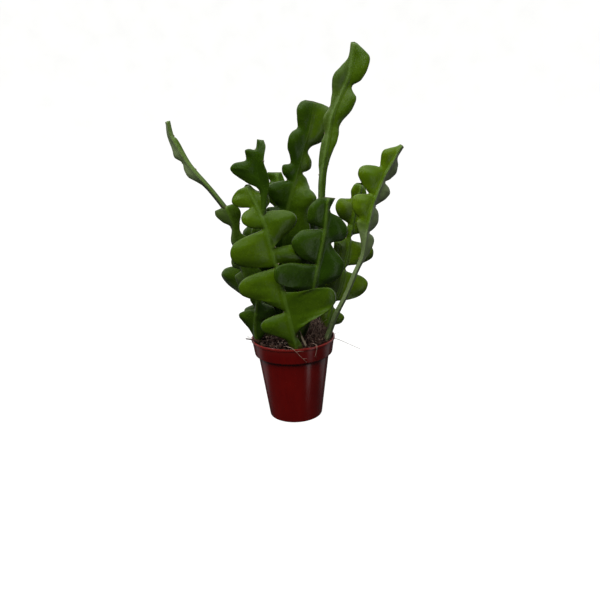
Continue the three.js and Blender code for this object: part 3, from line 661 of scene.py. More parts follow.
# %% Flesh finish
def make_flesh():
    flesh = Finish("cactus_flesh", IOR=1.42, Specular_IOR_Level=0.5)
    margin, rib = flesh.own("from_margin"), flesh.own("from_rib")
    fresh, wax = flesh.own("fresh"), flesh.own("wax")
    rust, scar, rear = flesh.own("rust"), flesh.own("scar"), flesh.own("rear")
    cloud = flesh.noise(16, 3, 0.55)
    mottle = flesh.noise(3.2, 4, 0.6)
    pores = flesh.noise(0.55, 2, 0.6)
    old, young_and_lit = flesh.ramp(cloud, *OLD_GREENS), flesh.ramp(cloud, *YOUNG_AND_LIT_GREENS)
    # Young growth is yellow-green; the same colour is painted light on lobes lit from behind or
    # facing away from the lamps.
    skin = flesh.mix(flesh.between(fresh + (mottle - 0.5) * 0.25, 0.0, 1.0), old, young_and_lit)
    on_rib = (1 - flesh.between(rib, 0.6, 1.6)) * (0.5 + mottle * 0.5)
    skin = flesh.mix(on_rib * flesh.own("ribbed"), skin, RIB_GREEN)
    # Painted light through the thin margin, a lighter green along the edge.
    edge = 1 - flesh.between(margin, 0.15, 1.4)
    skin = flesh.mix(edge * 0.16, skin, MARGIN_GLOW_GREEN)
    # Grey wax, with a painted grey sheen on lobes that tilt away and up the right stem's stalk.
    bloom_and_sheen = flesh.between(wax * (0.45 + mottle * 0.9), 0.15, 0.95)
    skin = flesh.mix(bloom_and_sheen * 0.62, skin, WAX_AND_SHEEN)
    skin = flesh.mix(rear * 0.25, skin, REAR_GREEN)
    # Painted shade on the feet of the inner stems, weaker on their rear faces.
    skin = flesh.mix(flesh.own("sheltered") * (0.85 - rear * 0.55), skin, PAINTED_SHADE_GREEN)
    corky = flesh.between(rust + (mottle - 0.5) * 0.7, 0.35, 0.95)
    skin = flesh.mix(corky * 0.8, skin, CORK)
    cells = flesh.node("ShaderNodeTexVoronoi", None,
                       {"Vector": flesh.place(), "Scale": 1 / (SPECKS_APART * MM)})
    speck = (1 - flesh.between(cells, 0.035, 0.075)) * flesh.between(cloud, 0.5, 0.62)
    skin = flesh.mix(speck * 0.45, skin, SPECK)
    healed = flesh.between(scar + (mottle - 0.5) * 0.5, 0.5, 0.8)
    skin = flesh.mix(healed * 0.8, skin, SCAR)
    rough = 0.19 + mottle * 0.14 + bloom_and_sheen * 0.2 + corky * 0.25 + healed * 0.3
    relief = mottle + pores * 0.25 + healed * mottle * 1.5 + corky * pores
    return flesh.surface(relief, 0.3, Base_Color=skin, Roughness=rough)

FLESH = make_flesh()
print("flesh finish has", len(FLESH.node_tree.nodes), "nodes")

# %% [markdown]
# ## The ten stems
#
# Each cutting becomes one piece, with the shoot that grew from it. The shoot's blade starts inside
# the parent's flesh, where the real one grows from an areole, and a corky collar marks the place.
# Joining the two with a Boolean would give a cleaner seam, but the collar hides it already.

# %% Numbers at each point of a stem
CORKY_FOOT, CORKY_COLLAR = 4, 5
FOOT_RUST = 0.8
HEALED_TOP = 0.9
YOUNGER_UP = 0.15
PAINTED_SHADE_LOW, PAINTED_SHADE_HIGH = 114, 150
WAX_AND_SHEEN_FADE, MOST_WAX_AND_SHEEN = 14, 0.9
RIB_FADE = 40
ALL_THE_WAY = 1000

def blade_numbers(rings, values, midrib, stem, rooted, sheltered):
    margin, out, station, sign = np.moveaxis(values, 2, 0)
    rear = np.zeros(margin.shape)
    rear[:, margin.shape[1] // 2 + 1:] = 1
    side = (sign > 0).astype(int)
    share = np.clip(station / midrib.end, 0, 1)
    collar = np.exp(-np.maximum(station, 0) / (CORKY_FOOT if rooted else CORKY_COLLAR))
    top = np.exp(-(midrib.end - station) / HEALED_TOP)
    # The painted shade fades out between two heights.
    lit = np.clip((rings[..., 2] - PAINTED_SHADE_LOW) / (PAINTED_SHADE_HIGH - PAINTED_SHADE_LOW), 0, 1)
    # Up the stalk both sides get wax and a painted grey sheen.
    wax_and_sheen_foot = np.clip((stem.get("waxy_to", 0) - station) / WAX_AND_SHEEN_FADE, 0, MOST_WAX_AND_SHEEN)
    numbers = {
        "from_margin": margin, "from_rib": out, "rear": rear,
        # How yellow-green: young growth, and painted light on lobes lit from behind.
        "fresh": np.array(stem["fresh"])[side] + YOUNGER_UP * share,
        # How grey: real wax, and a painted sheen on lobes that tilt away.
        "wax": np.maximum(np.array(stem["wax"], float)[side], wax_and_sheen_foot),
        "ribbed": np.clip((stem.get("ribbed_to", ALL_THE_WAY) - station) / RIB_FADE, 0, 1),
        # Painted shade, lowest on the stem.
        "sheltered": sheltered * (1 - lit),
        "rust": collar * (FOOT_RUST if rooted else 1),
        "scar": top * (stem.get("healed", 1) if rooted else 0),
    }
    return {key: value.ravel() for key, value in numbers.items()}

# %% Build the stems
def blades_of(stem):
    """A stem's own blade and its shoot's, if it has one, each with whether it has roots."""
    return [(stem, True)] + ([(stem["shoot"], False)] if "shoot" in stem else [])

def make_stem(name, stem):
    points, faces, numbers = [], [], []
    for each, rooted in blades_of(stem):
        rings, values, midrib = blade(each, rooted)
        start = sum(len(p) for p in points)
        faces += zipped_tube(rings.shape[0], rings.shape[1], start)
        points.append(rings.reshape(-1, 3))
        numbers.append(blade_numbers(rings, values, midrib, each, rooted, stem["sheltered"]))
    joined = {key: np.concatenate([n[key] for n in numbers]) for key in numbers[0]}
    return add_piece(name + "_flesh", np.vstack(points), faces, FLESH, "cactus_stem",
                     (name,), **joined)

stems = [make_stem(name, stem) for name, stem in STEMS.items()]
print("stems:", len(stems), "with", sum(triangles(s) for s in stems), "triangles")

# %% [markdown]
# ## Areoles
#
# An areole is the small felt cushion from which a cactus grows spines, flowers and shoots. On a
# fishbone cactus one sits in each notch. A painted dot would lie flat on the flesh, so a low
# woolly cushion with one to three short bristles gives each notch a real point of light.

# %% A small ball, used for areoles, crumbs and bark
def ball_shape(rings, sides):
    points = [[0, 0, 1]]
    for k in range(1, rings):
        polar = math.pi * k / rings
        for i in range(sides):
            angle = 2 * math.pi * i / sides
            points.append([math.sin(polar) * math.cos(angle), math.sin(polar) * math.sin(angle),
                           math.cos(polar)])
    points.append([0, 0, -1])
    faces = [(0, 1 + i, 1 + (i + 1) % sides) for i in range(sides)]
    for k in range(rings - 2):
        low, high = 1 + k * sides, 1 + (k + 1) * sides
        faces += [(low + i, high + i, high + (i + 1) % sides, low + (i + 1) % sides)
                  for i in range(sides)]
    foot = 1 + (rings - 2) * sides
    last = len(points) - 1
    faces += [(foot + i, last, foot + (i + 1) % sides) for i in range(sides)]
    return np.array(points), faces

# A direction that no piece follows exactly, so that a cross product with it never vanishes.
SKEW = [0.31, 0.87, 0.38]

def turned_to(direction):
    """A matrix whose third column is the direction."""
    up = unit(np.asarray(direction, float))
    aside = unit(np.cross(up, SKEW))
    return np.column_stack([aside, np.cross(up, aside), up])

# %% A tapering strand through places
STRAND_SKEW = [0.29, 0.41, 0.86]

def strand(places, radius, tip, sides, steps):
    path = curve_at(places, np.linspace(0, 1, steps + 1))
    along = unit(np.gradient(path, axis=0))
    aside = unit(np.cross(along, STRAND_SKEW))
    other = np.cross(along, aside)
    radii = radius * np.linspace(1, tip, steps + 1)[:, None]
    rings = []
    for i in range(sides):
        angle = 2 * math.pi * i / sides
        rings.append(path + (aside * math.cos(angle) + other * math.sin(angle)) * radii)
    return np.stack(rings, axis=1).reshape(-1, 3), capped_tube(steps + 1, sides)

class Heap:
    """Many small shapes gathered into one mesh, each with a shade of its own."""

    def __init__(self):
        self.points, self.faces, self.shades, self.count = [], [], [], 0

    def add(self, points, faces, shade):
        self.faces += [[self.count + v for v in f] for f in faces]
        self.points.append(points)
        self.shades += [shade] * len(points)
        self.count += len(points)

    def piece(self, name, material, slot, stands_for=(), smooth=True):
        return add_piece(name, np.vstack(self.points), self.faces, material, slot, stands_for,
                         smooth, shade=self.shades)

# %% Areole finish
def make_felt():
    felt = Finish("areole_felt", Specular_IOR_Level=0.15, Sheen_Weight=0.3)
    wool = felt.noise(0.25, 3, 0.7)
    shade = felt.own("shade")
    colour = felt.ramp(wool, (0.3, (0.10, 0.06, 0.03)), (0.7, (0.32, 0.27, 0.18)))
    colour = felt.mix(shade * 0.5, colour, (0.07, 0.035, 0.018))
    return felt.surface(wool, 0.12, Base_Color=colour, Roughness=0.8 + wool * 0.15)

FELT = make_felt()

# %% Areoles in the notches
CUSHION, CUSHION_FACES = ball_shape(6, 9)
CUSHION_SIZE = np.array([1.15, 1, 0.6]) * 0.6
SUNK = 0.93
LOOKS_UP = 0.4
BRISTLE, BRISTLE_RADIUS, BRISTLE_SPREAD = 1.1, 0.05, 0.45
rng = np.random.default_rng(7)

def add_areoles(heap, stem, rooted, draw):
    midrib = Midrib(stem, rooted)
    for sign, key in SIGNS:
        for along, out, lift in rung_ends(stem[key], np.array([0.0]))[1]:
            place, facing, side = (v[0] for v in midrib.at([along]))
            outward = unit(side * sign + np.cross(facing, side) * LOOKS_UP)
            seat = place + side * sign * max(out, NARROWEST) * SUNK + facing * lift
            shape = turned_to(outward) * CUSHION_SIZE
            heap.add(seat + CUSHION @ shape.T, CUSHION_FACES, draw.random())
            for _ in range(draw.integers(1, 4)):
                aim = unit(outward + draw.normal(0, BRISTLE_SPREAD, 3))
                end = seat + aim * BRISTLE * (0.6 + draw.random() * 0.7)
                bend = (seat + end) / 2 + draw.normal(0, 0.06, 3)
                places = [seat, bend, end]
                heap.add(*strand(places, BRISTLE_RADIUS, tip=0.3, sides=4, steps=3), 1)

areoles = Heap()
for stem in STEMS.values():
    for each, rooted in blades_of(stem):
        add_areoles(areoles, each, rooted, rng)
areole_piece = areoles.piece("areoles", FELT, "dry_fibre")
print("areoles:", triangles(areole_piece), "triangles")

# %% [markdown]
# ## The nursery pot
#
# Such a pot is drawn from one hot sheet of plastic over a mould. It has a small lip, a straight
# band under it that lets pots stack without jamming, a step, and a tapering wall. Everything
# about it is round, so its section is drawn once and turned round the axis, with real fillets at
# each corner, because on glossy plastic it is the corners that catch the light.

# %% Section of the pot, with rounded corners
RIM_RADIUS = 27.5
POT_HEIGHT = 54
BAND_FOOT = 43.4
BAND_FOOT_RADIUS = 25.6
WALL_TOP_RADIUS = 23.4
BASE_RADIUS = 17.8
WALL = 0.9
FLOOR = 1.2
LIP = 1.6
POT_SIDES = 192

def fillet(corners, steps=5):
    """Points of a line through [radius, height, rounding] corners, each corner made an arc."""
    flat = np.array([c[:2] for c in corners], float)
    points = [flat[0]]
    for k in range(1, len(corners) - 1):
        here, reach = flat[k], corners[k][2]
        before, after = unit(flat[k - 1] - here), unit(flat[k + 1] - here)
        start, end = here + before * reach, here + after * reach
        for t in np.linspace(0, 1, steps + 1):
            points.append((1 - t) ** 2 * start + 2 * t * (1 - t) * here + t ** 2 * end)
    points.append(flat[-1])
    return np.array(points)

OUTSIDE = [(0, 0.6, 0), (BASE_RADIUS - 3.2, 0.6, 0.4), (BASE_RADIUS - 2.6, 0, 0.3),
           (BASE_RADIUS - 0.3, 0, 0.6), (WALL_TOP_RADIUS - 0.1, BAND_FOOT - 1.2, 1.2),
           (WALL_TOP_RADIUS + 0.3, BAND_FOOT, 0.5), (BAND_FOOT_RADIUS, BAND_FOOT, 0.55),
           (RIM_RADIUS - 0.55, POT_HEIGHT - LIP, 0.25), (RIM_RADIUS, POT_HEIGHT - LIP + 0.2, 0.25),
           (RIM_RADIUS, POT_HEIGHT, 0.4), (RIM_RADIUS - WALL - 0.1, POT_HEIGHT, 0.35)]
INSIDE = [(RIM_RADIUS - WALL - 0.45, POT_HEIGHT - LIP, 0.3),
          (BAND_FOOT_RADIUS - WALL, BAND_FOOT + WALL, 0.5),
          (WALL_TOP_RADIUS - WALL, BAND_FOOT + WALL, 0.4),
          (BASE_RADIUS - WALL, FLOOR, 0.6), (0, FLOOR, 0)]

# %% Turn a section round the axis
ON_AXIS = 1e-6

def turned_section(section, sides):
    angles = np.arange(sides) * 2 * math.pi / sides
    points, starts = [], []
    for radius, height in section:
        starts.append(len(points))
        if radius < ON_AXIS:
            points.append([0, 0, height])
        else:
            points += [[radius * math.cos(a), radius * math.sin(a), height] for a in angles]
    faces = []
    for k in range(len(section) - 1):
        low, high = starts[k], starts[k + 1]
        if section[k][0] < ON_AXIS:
            faces += [(low, high + (i + 1) % sides, high + i) for i in range(sides)]
        elif section[k + 1][0] < ON_AXIS:
            faces += [(low + i, low + (i + 1) % sides, high) for i in range(sides)]
        else:
            faces += band(low, high, sides)
    return points, faces

# %% [markdown]
# ## The pot's plastic
#
# The sheet was coloured right through: a deep red-brown. Its gloss is high but not a mirror,
# because the mould leaves a faint orange peel and the drawing leaves faint upright flow lines.
# Wear adds fine scratches, and the band keeps a little dust and dried splashes of peat. Near the
# rim a lighter, greyer red is painted in as the sheen on the lip. One red with one roughness would
# look like glass, so noise varies both, stretched along the height for the flow lines.

# %% Plastic finish
SHEET_REDS = ((0.35, (0.125, 0.0012, 0.0008)), (0.65, (0.165, 0.0026, 0.0013)))
# A lighter, greyer red: painted sheen on the lip.
RIM_SHEEN_RED = (0.200, 0.026, 0.019)
DUST = (0.13, 0.065, 0.050)
DRIED_PEAT = (0.022, 0.011, 0.008)
RIM_FROM, RIM_TO = 47 * MM, 55 * MM

def make_plastic():
    plastic = Finish("pot_plastic", IOR=1.5, Specular_IOR_Level=0.5)
    flow = plastic.noise(5, 3, 0.6, stretch=(1, 1, 0.06))
    cloud = plastic.noise(14, 3, 0.6)
    peel = plastic.noise(0.9, 2, 0.5)
    scratch = plastic.noise(1.3, 2, 0.7, stretch=(1, 1, 14), distortion=0.6)
    height = plastic.node("ShaderNodeSeparateXYZ", None, {0: plastic.place()}, output="Z")
    near_rim = plastic.between(height, RIM_FROM, RIM_TO)
    red = plastic.ramp(flow * 0.4 + cloud * 0.6, *SHEET_REDS)
    # Near the rim a painted sheen: a lighter, greyer red, varied by noise.
    red = plastic.mix(near_rim * cloud * 0.8, red, RIM_SHEEN_RED)
    dust = plastic.between(plastic.noise(2.4, 5, 0.75), 0.6, 0.78)
    splash = plastic.between(plastic.noise(1.1, 3, 0.6), 0.68, 0.72) * near_rim
    red = plastic.mix(dust * 0.14, red, DUST)
    red = plastic.mix(splash * 0.6, red, DRIED_PEAT)
    marks = plastic.between(scratch, 0.62, 0.7)
    rough = 0.17 + flow * 0.06 + dust * 0.2 + splash * 0.4 + marks * 0.06
    relief = flow * 0.25 + peel * 0.08 + splash * 0.3 - marks * 0.05
    return plastic.surface(relief, 0.12, Base_Color=red, Roughness=rough)

PLASTIC = make_plastic()

# %% Build the pot and bore its drain holes
DRAIN_COUNT, DRAIN_RADIUS, DRAIN_CIRCLE = 6, 1.9, 11
DRILL_FROM, DRILL_TO = -3, 4

section = fillet(OUTSIDE + INSIDE)
pot = add_piece("pot_shell", *turned_section(section, POT_SIDES), PLASTIC, "pot_plastic", ("pot",))

def bore_drains(piece):
    peg = [(0, DRILL_FROM), (DRAIN_RADIUS, DRILL_FROM), (DRAIN_RADIUS, DRILL_TO), (0, DRILL_TO)]
    peg_points, peg_faces = turned_section(peg, 32)
    points, faces = [], []
    for k in range(DRAIN_COUNT):
        angle = (k + 0.5) / DRAIN_COUNT * 2 * math.pi
        x, y = DRAIN_CIRCLE * math.cos(angle), DRAIN_CIRCLE * math.sin(angle)
        faces += [[len(points) + v for v in f] for f in peg_faces]
        points += [[px + x, py + y, pz] for px, py, pz in peg_points]
    drill = add_object("drill", new_mesh("drill", points, faces))
    cut = piece.modifiers.new("drains", "BOOLEAN")
    cut.operation, cut.object, cut.solver = "DIFFERENCE", drill, "EXACT"
    ready = piece.evaluated_get(bpy.context.evaluated_depsgraph_get())
    mesh = bpy.data.meshes.new_from_object(ready)
    piece.modifiers.clear()
    piece.data = mesh
    bpy.data.objects.remove(drill)

bore_drains(pot)
print("pot:", triangles(pot), "triangles")

# %% [markdown]
# ## The potting mix
#
# The mix fills the pot to just under its lip, with a mound of old roots and coir at the right. It
# is one closed plug: its sides follow the pot's inside, and its top is a field of heights that
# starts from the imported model's own surface and adds the small crumbs that peat dries into. A flat
# disc with a bump would do from above, but from the front it is the edge of the mix that shows.

# %% Height of the mix
MIX_LEVEL = 52.6
MOUND_HEIGHT = 10
MOUND_PLACE = (14, 3)
MOUND_SPREAD = 10
RIPPLE = 0.5
SETTLED = 0.25
LUMP_SLICE = 3.7
LUMPS = ((3.1, 0.9), (1.2, 0.45), (0.5, 0.2))

def mix_height(x, y):
    away = math.hypot(x - MOUND_PLACE[0], y - MOUND_PLACE[1])
    mound = MOUND_HEIGHT * math.exp(-(away / MOUND_SPREAD) ** 2)
    return MIX_LEVEL + mound + RIPPLE * math.sin(x * 0.9) * math.cos(y * 0.7 + x * 0.3)

def crumbly_height(x, y):
    spot = Vector((x, y, LUMP_SLICE))
    return mix_height(x, y) - SETTLED + sum(noise.noise(spot / size) * rise for size, rise in LUMPS)

# %% Build the plug of mix
MIX_SIDES, MIX_RINGS = 150, 44
MIX_RADIUS = 25.9
MIX_FOOT = 1.5
GAP = 1.2
MIX_WALL = [(BASE_RADIUS - GAP, MIX_FOOT), (WALL_TOP_RADIUS - GAP - 0.3, BAND_FOOT + GAP),
            (BAND_FOOT_RADIUS - GAP, BAND_FOOT + GAP)]

def make_plug(material):
    top = [(MIX_RADIUS * (k - 0.5) / (MIX_RINGS - 0.5), None) for k in range(MIX_RINGS, 0, -1)]
    points = []
    for radius, height in MIX_WALL + top:
        for angle in np.arange(MIX_SIDES) * 2 * math.pi / MIX_SIDES:
            x, y = radius * math.cos(angle), radius * math.sin(angle)
            points.append([x, y, crumbly_height(x, y) if height is None else height])
    faces = capped_tube(len(MIX_WALL + top), MIX_SIDES)
    return add_piece("mix_plug", points, faces, material, "potting_mix", ("potting_mix",))

# %% Mix finish
def make_peat():
    peat = Finish("peat_mix", Specular_IOR_Level=0.12)
    coarse = peat.noise(2.2, 5, 0.7)
    fine = peat.noise(0.6, 4, 0.7)
    damp = peat.noise(9, 2, 0.5)
    brown = peat.ramp(coarse, (0.25, (0.005, 0.003, 0.0026)), (0.5, (0.014, 0.008, 0.007)),
                      (0.75, (0.036, 0.021, 0.018)))
    brown = peat.mix(peat.between(fine, 0.52, 0.72) * 0.5, brown, (0.060, 0.037, 0.032))
    brown = peat.mix(peat.between(damp, 0.45, 0.7) * 0.5, brown, (0.011, 0.007, 0.005))
    return peat.surface(coarse + fine * 0.6, 0.9, Base_Color=brown, Roughness=0.86 + fine * 0.12)

PEAT = make_peat()
plug = make_plug(PEAT)
print("mix:", triangles(plug), "triangles")

# %% [markdown]
# ## Crumbs on the mix
#
# Seen close, potting mix is a heap of separate bits: dark peat crumbs, flat flakes of bark and
# paler bits of coir pith. A bump alone would leave the surface flat in outline, so more than a
# thousand small rough shapes lie on it. The draws come from one seeded generator, so every run
# scatters them alike, and none is placed inside a stem.

# %% Where the stems stand
STEM_CLEARANCE = 3.2
FEET = [Midrib(stem, True).at([0, 4, 8])[0] for stem in STEMS.values()]

def clear_of_stems(x, y, reach):
    return all(np.hypot(foot[:, 0] - x, foot[:, 1] - y).min() > reach for foot in FEET)

def spot_on_mix(draw, radius, reach):
    while True:
        r, a = radius * math.sqrt(draw.random()), draw.random() * 2 * math.pi
        x, y = r * math.cos(a), r * math.sin(a)
        if clear_of_stems(x, y, reach):
            return x, y

# %% Scatter the crumbs
CRUMBS = 1250
CRUMBS_TO = 25.0
CRUMB_SMALLEST, CRUMB_RANGE = 0.32, 0.75
LUMPINESS = 0.28
SUNK_IN = 0.35
rng = np.random.default_rng(21)
BALL, BALL_FACES = ball_shape(5, 7)

def crumb(draw, x, y, size, flat):
    lumpy = BALL * (1 + LUMPINESS * draw.normal(size=(len(BALL), 1)).clip(-1.4, 1.4))
    shape = turned_to(draw.normal(size=3)) * (np.array([1.3, 0.9, flat]) * size)
    height = crumbly_height(x, y) + size * SUNK_IN
    return lumpy @ shape.T + [x, y, height]

crumbs = Heap()
for _ in range(CRUMBS):
    x, y = spot_on_mix(rng, CRUMBS_TO, STEM_CLEARANCE)
    size = CRUMB_SMALLEST + CRUMB_RANGE * rng.random() ** 2.6
    crumbs.add(crumb(rng, x, y, size, 0.4 + 0.5 * rng.random()), BALL_FACES, rng.random())

# %% Crumb finish
def make_crumbs():
    bits = Finish("peat_crumbs", Specular_IOR_Level=0.12)
    shade = bits.own("shade")
    grain = bits.noise(0.5, 4, 0.7)
    brown = bits.ramp(shade, (0.0, (0.006, 0.003, 0.0022)), (0.5, (0.020, 0.0098, 0.0075)),
                      (0.8, (0.046, 0.025, 0.019)), (1.0, (0.110, 0.070, 0.056)))
    brown = bits.mix(grain * 0.6, brown, (0.014, 0.008, 0.007))
    return bits.surface(grain, 0.3, Base_Color=brown, Roughness=0.84 + grain * 0.14)

CRUMB = make_crumbs()
crumb_piece = crumbs.piece("peat_crumbs", CRUMB, "potting_mix", smooth=False)
print("crumbs:", triangles(crumb_piece), "triangles")

# %% [markdown]
# ## Coir and root hairs
#
# The mound is a tangle of coir: springy pink-brown hairs, two tenths of a millimetre thick, that
# loop out of it and catch the light. Hair strands would render well but can't be exported, so
# each hair is a thin tapering tube through a few places. Some lie across the mix, some arch over
# the mound, and a few stand free or reach past the rim.

# %% Fibre finish
def make_fibre():
    fibre = Finish("coir_fibre", Specular_IOR_Level=0.3)
    shade = fibre.own("shade")
    along = fibre.noise(0.8, 3, 0.6)
    straw = fibre.ramp(shade, (0.0, (0.036, 0.015, 0.010)), (0.5, (0.14, 0.068, 0.047)),
                       (1.0, (0.62, 0.47, 0.37)))
    straw = fibre.mix(along * 0.3, straw, (0.045, 0.025, 0.020))
    return fibre.surface(along, 0.05, Base_Color=straw, Roughness=0.6 + along * 0.25)

FIBRE = make_fibre()

# %% Tangle over the mound
MOUND_HAIRS = 420
TANGLE_MIDDLE, TANGLE_SPREAD = (15, -1), (6.2, 7.0)
TANGLE_TO, TANGLE_CLEARANCE = 24.5, 2.2
POT_INSIDE = 24.6
rng = np.random.default_rng(33)

def spot_on_mound(draw, middle, spread, radius, reach):
    while True:
        x, y = draw.normal(middle, spread)
        if math.hypot(x, y) < radius and clear_of_stems(x, y, reach):
            return np.array([x, y])

def kept_inside(x, y, radius):
    share = min(1, radius / max(math.hypot(x, y), ALMOST_NONE))
    return x * share, y * share

def mound_hair(draw):
    foot = spot_on_mound(draw, TANGLE_MIDDLE, TANGLE_SPREAD, TANGLE_TO, TANGLE_CLEARANCE)
    away = unit(draw.normal(size=2))
    length = 3 + 9 * draw.random() ** 1.5
    rise = length * (0.10 + 0.45 * draw.random() ** 2)
    places = []
    for share in (0, 0.35, 0.7, 1):
        spot = foot + away * length * share + draw.normal(0, 0.5, 2)
        x, y = kept_inside(*spot, POT_INSIDE)
        lift = rise * math.sin(math.pi * min(share, 0.9)) + 0.25
        places.append([x, y, crumbly_height(x, y) + lift - 0.3 * (share == 0)])
    return places

hairs = Heap()
for _ in range(MOUND_HAIRS):
    shade = rng.random() ** 3
    places = mound_hair(rng)
    hairs.add(*strand(places, 0.07 + 0.07 * rng.random(), tip=0.4, sides=4, steps=9), shade)

# %% Hairs that lie on the mix
LYING_HAIRS = 260
LYING_TO, LYING_CLEARANCE = 24.4, 2.4
LIP_INSIDE = 25.2

def lying_hair(draw):
    foot = spot_on_mix(draw, LYING_TO, LYING_CLEARANCE)
    heading = draw.random() * 2 * math.pi
    length = 2 + 7 * draw.random()
    places = []
    for share in (0, 0.33, 0.66, 1):
        heading += draw.normal(0, 0.35)
        x = foot[0] + math.cos(heading) * length * share
        y = foot[1] + math.sin(heading) * length * share
        x, y = kept_inside(x, y, LIP_INSIDE)
        places.append([x, y, crumbly_height(x, y) + 0.3 + 0.5 * draw.random()])
    return places

for _ in range(LYING_HAIRS):
    shade = rng.random()
    places = lying_hair(rng)
    hairs.add(*strand(places, 0.06 + 0.08 * rng.random(), tip=0.5, sides=4, steps=8), shade)
hair_piece = hairs.piece("coir_hairs", FIBRE, "dry_fibre")
print("hairs:", triangles(hair_piece), "triangles")

# %% Hairs that stand up from the mound
STANDING = [
    [[13.5, -6, 0], [14.5, -7, 6], [17, -8, 11.5]], [[12, -4, 0], [11.2, -5.5, 6], [13, -6.5, 10]],
    [[17, -5, 0], [18.5, -6, 4], [21.5, -7.5, 7]], [[10, -8, 0], [9, -9.5, 4], [10, -10.5, 8]],
    [[19, 1, 0], [20.5, 0, 5], [23, -1, 8]], [[15, -9, 0], [16, -11, 3], [15, -13, 5.5]],
    [[8, -12, 0], [9.5, -14, 3.5], [13, -15, 4.5]], [[13, 2, 0], [11.5, 1, 6], [12.5, 0, 10]],
]
STANDING_RADIUS = 0.15
FREE_HAIRS = 46
FREE_MIDDLE, FREE_SPREAD = (13.5, -6), (4.5, 5)
FREE_TO, FREE_CLEARANCE = 24, 1.5
FREE_LEAN = 0.42

def free_hair(draw):
    foot = spot_on_mound(draw, FREE_MIDDLE, FREE_SPREAD, FREE_TO, FREE_CLEARANCE)
    lean = draw.normal(0, FREE_LEAN, 2)
    tall = 4 + 9 * draw.random() ** 1.3
    bend = draw.normal(0, 1.1, 2)
    level = crumbly_height(*foot)
    return [[*(foot + lean * tall * share + bend * math.sin(math.pi * share)),
             level + tall * share] for share in (0, 0.35, 0.7, 1)]

standing = Heap()
for k, places in enumerate(STANDING):
    on_mix = [[x, y, crumbly_height(x, y) + z] for x, y, z in places]
    shade = 0.85 + 0.02 * k
    standing.add(*strand(on_mix, STANDING_RADIUS, tip=0.4, sides=5, steps=10), shade)
for _ in range(FREE_HAIRS):
    shade = 0.45 + 0.55 * rng.random()
    places = free_hair(rng)
    standing.add(*strand(places, 0.10 + 0.07 * rng.random(), tip=0.4, sides=4, steps=9), shade)

# %% A long dark thread and short hairs past the rim
THREAD = [[22.5, -10.5, 54.2], [25.2, -11.6, 55.3], [29, -12.8, 54.6], [36, -14.5, 51.6],
          [42.5, -16, 48.8]]
RIM_HAIRS = [
    [[-27, -9.2, 55.9], [-28.6, -9.4, 57.4], [-30, -9.8, 57.9]],
    [[20.5, -13, 53.9], [22.6, -15.6, 55.4], [25.4, -17.4, 55.9]],
    [[23.4, -4.8, 54], [26.6, -5.6, 55.9], [30.2, -6.2, 57.2]],
    [[-21.5, -11, 53.8], [-24.4, -12.4, 55.1], [-28.6, -13, 54.6]],
    [[-20.2, -7, 53.8], [-24.8, -8.4, 55.9], [-29.4, -8.8, 58]],
]
THREAD_RADIUS, THREAD_SHADE = 0.2, 0.05
RIM_HAIR_RADIUS, RIM_HAIR_SHADE = 0.14, 0.3

standing.add(*strand(THREAD, THREAD_RADIUS, tip=0.4, sides=5, steps=16), THREAD_SHADE)
for places in RIM_HAIRS:
    standing.add(*strand(places, RIM_HAIR_RADIUS, tip=0.35, sides=5, steps=9), RIM_HAIR_SHADE)
standing_piece = standing.piece("standing_hairs", FIBRE, "dry_fibre")
print("standing hairs:", triangles(standing_piece), "triangles")

# %% [markdown]
# ## Roots, twig and stiff fibres
#
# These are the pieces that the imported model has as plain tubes. Here each follows the same path,
# but it tapers, its thickness swells at small knots, and the roots fork into fine ends, as dried
# roots do. A bevelled curve would be quicker to draw, but it can't swell unevenly. Each piece
# stands for its own node.

# %% A knotty strand
SWELL, SWELL_TURNS, UNEVEN = 0.22, 9, 0.12
KNOTTY_TIP = 0.45

def knotty(places, radius, draw, sides, steps):
    points, faces = strand(places, radius, KNOTTY_TIP, sides, steps)
    rings = points.reshape(steps + 1, sides, 3)
    middle = rings.mean(1, keepdims=True)
    swell = 1 + SWELL * np.sin(np.linspace(0, SWELL_TURNS, steps + 1) + draw.random() * 6)
    swell = swell[:, None] * (1 + UNEVEN * draw.normal(size=(steps + 1, sides)))
    return (middle + (rings - middle) * swell[..., None]).reshape(-1, 3), faces

# %% Their paths, as [x, y, z] places, or as [x, y, height above the mix] for the coir
ROOTS = {
    "root_over_rim": {
        "radius": 0.18, "side_radius": 0.14, "shade": 0.75,
        "places": [[-6, -20, 53.9], [-3.5, -24.6, 55.2], [0, -28.4, 54.8], [4.5, -27.9, 49.5],
                   [8.2, -25.5, 44.6]],
    },
    "root_over_rim_right": {
        "radius": 0.1575, "side_radius": 0.1225, "shade": 0.8,
        "places": [[11, -17, 53.9], [13, -21.5, 55.4], [14.8, -24.3, 55], [14.4, -24.1, 51],
                   [13.2, -23.9, 47.5]],
    },
}
TWIG = [[-22, -9, 54], [-25.5, -9.4, 55.4], [-30.5, -9.2, 56.4]]
TWIG_RADIUS, TWIG_SHADE = 0.78, 0.1
COIR_FIBRES = [
    [[14, 1, 0.6], [13, 0, 5], [14.5, -1, 9]],
    [[16, -4, 0.6], [17.5, -5, 4], [17, -6, 8]],
    [[9, -3, 0.6], [8, -4, 4], [9, -6, 6.5]],
    [[11, -8, 0.9], [14, -9, 3], [18, -8, 0.9]],
]
COIR_RADIUS, COIR_SHADE = 0.16, 0.8

# %% Build them
SIDE_ROOTS_AT = (0.35, 0.6, 0.85)
SIDE_SPREAD = 1.1
SIDE_HANG = [0, -0.3, -0.8]
SIDE_END = [0.3, 0, -0.4]
rng = np.random.default_rng(5)

def add_side_roots(heap, root, draw):
    for share in SIDE_ROOTS_AT:
        start = curve_at(root["places"], [share])[0]
        reach = draw.normal(0, SIDE_SPREAD, 3) + SIDE_HANG
        places = [start, start + reach * 0.6, start + reach * 1.5 + SIDE_END]
        heap.add(*strand(places, root["side_radius"], tip=0.3, sides=4, steps=5), root["shade"])

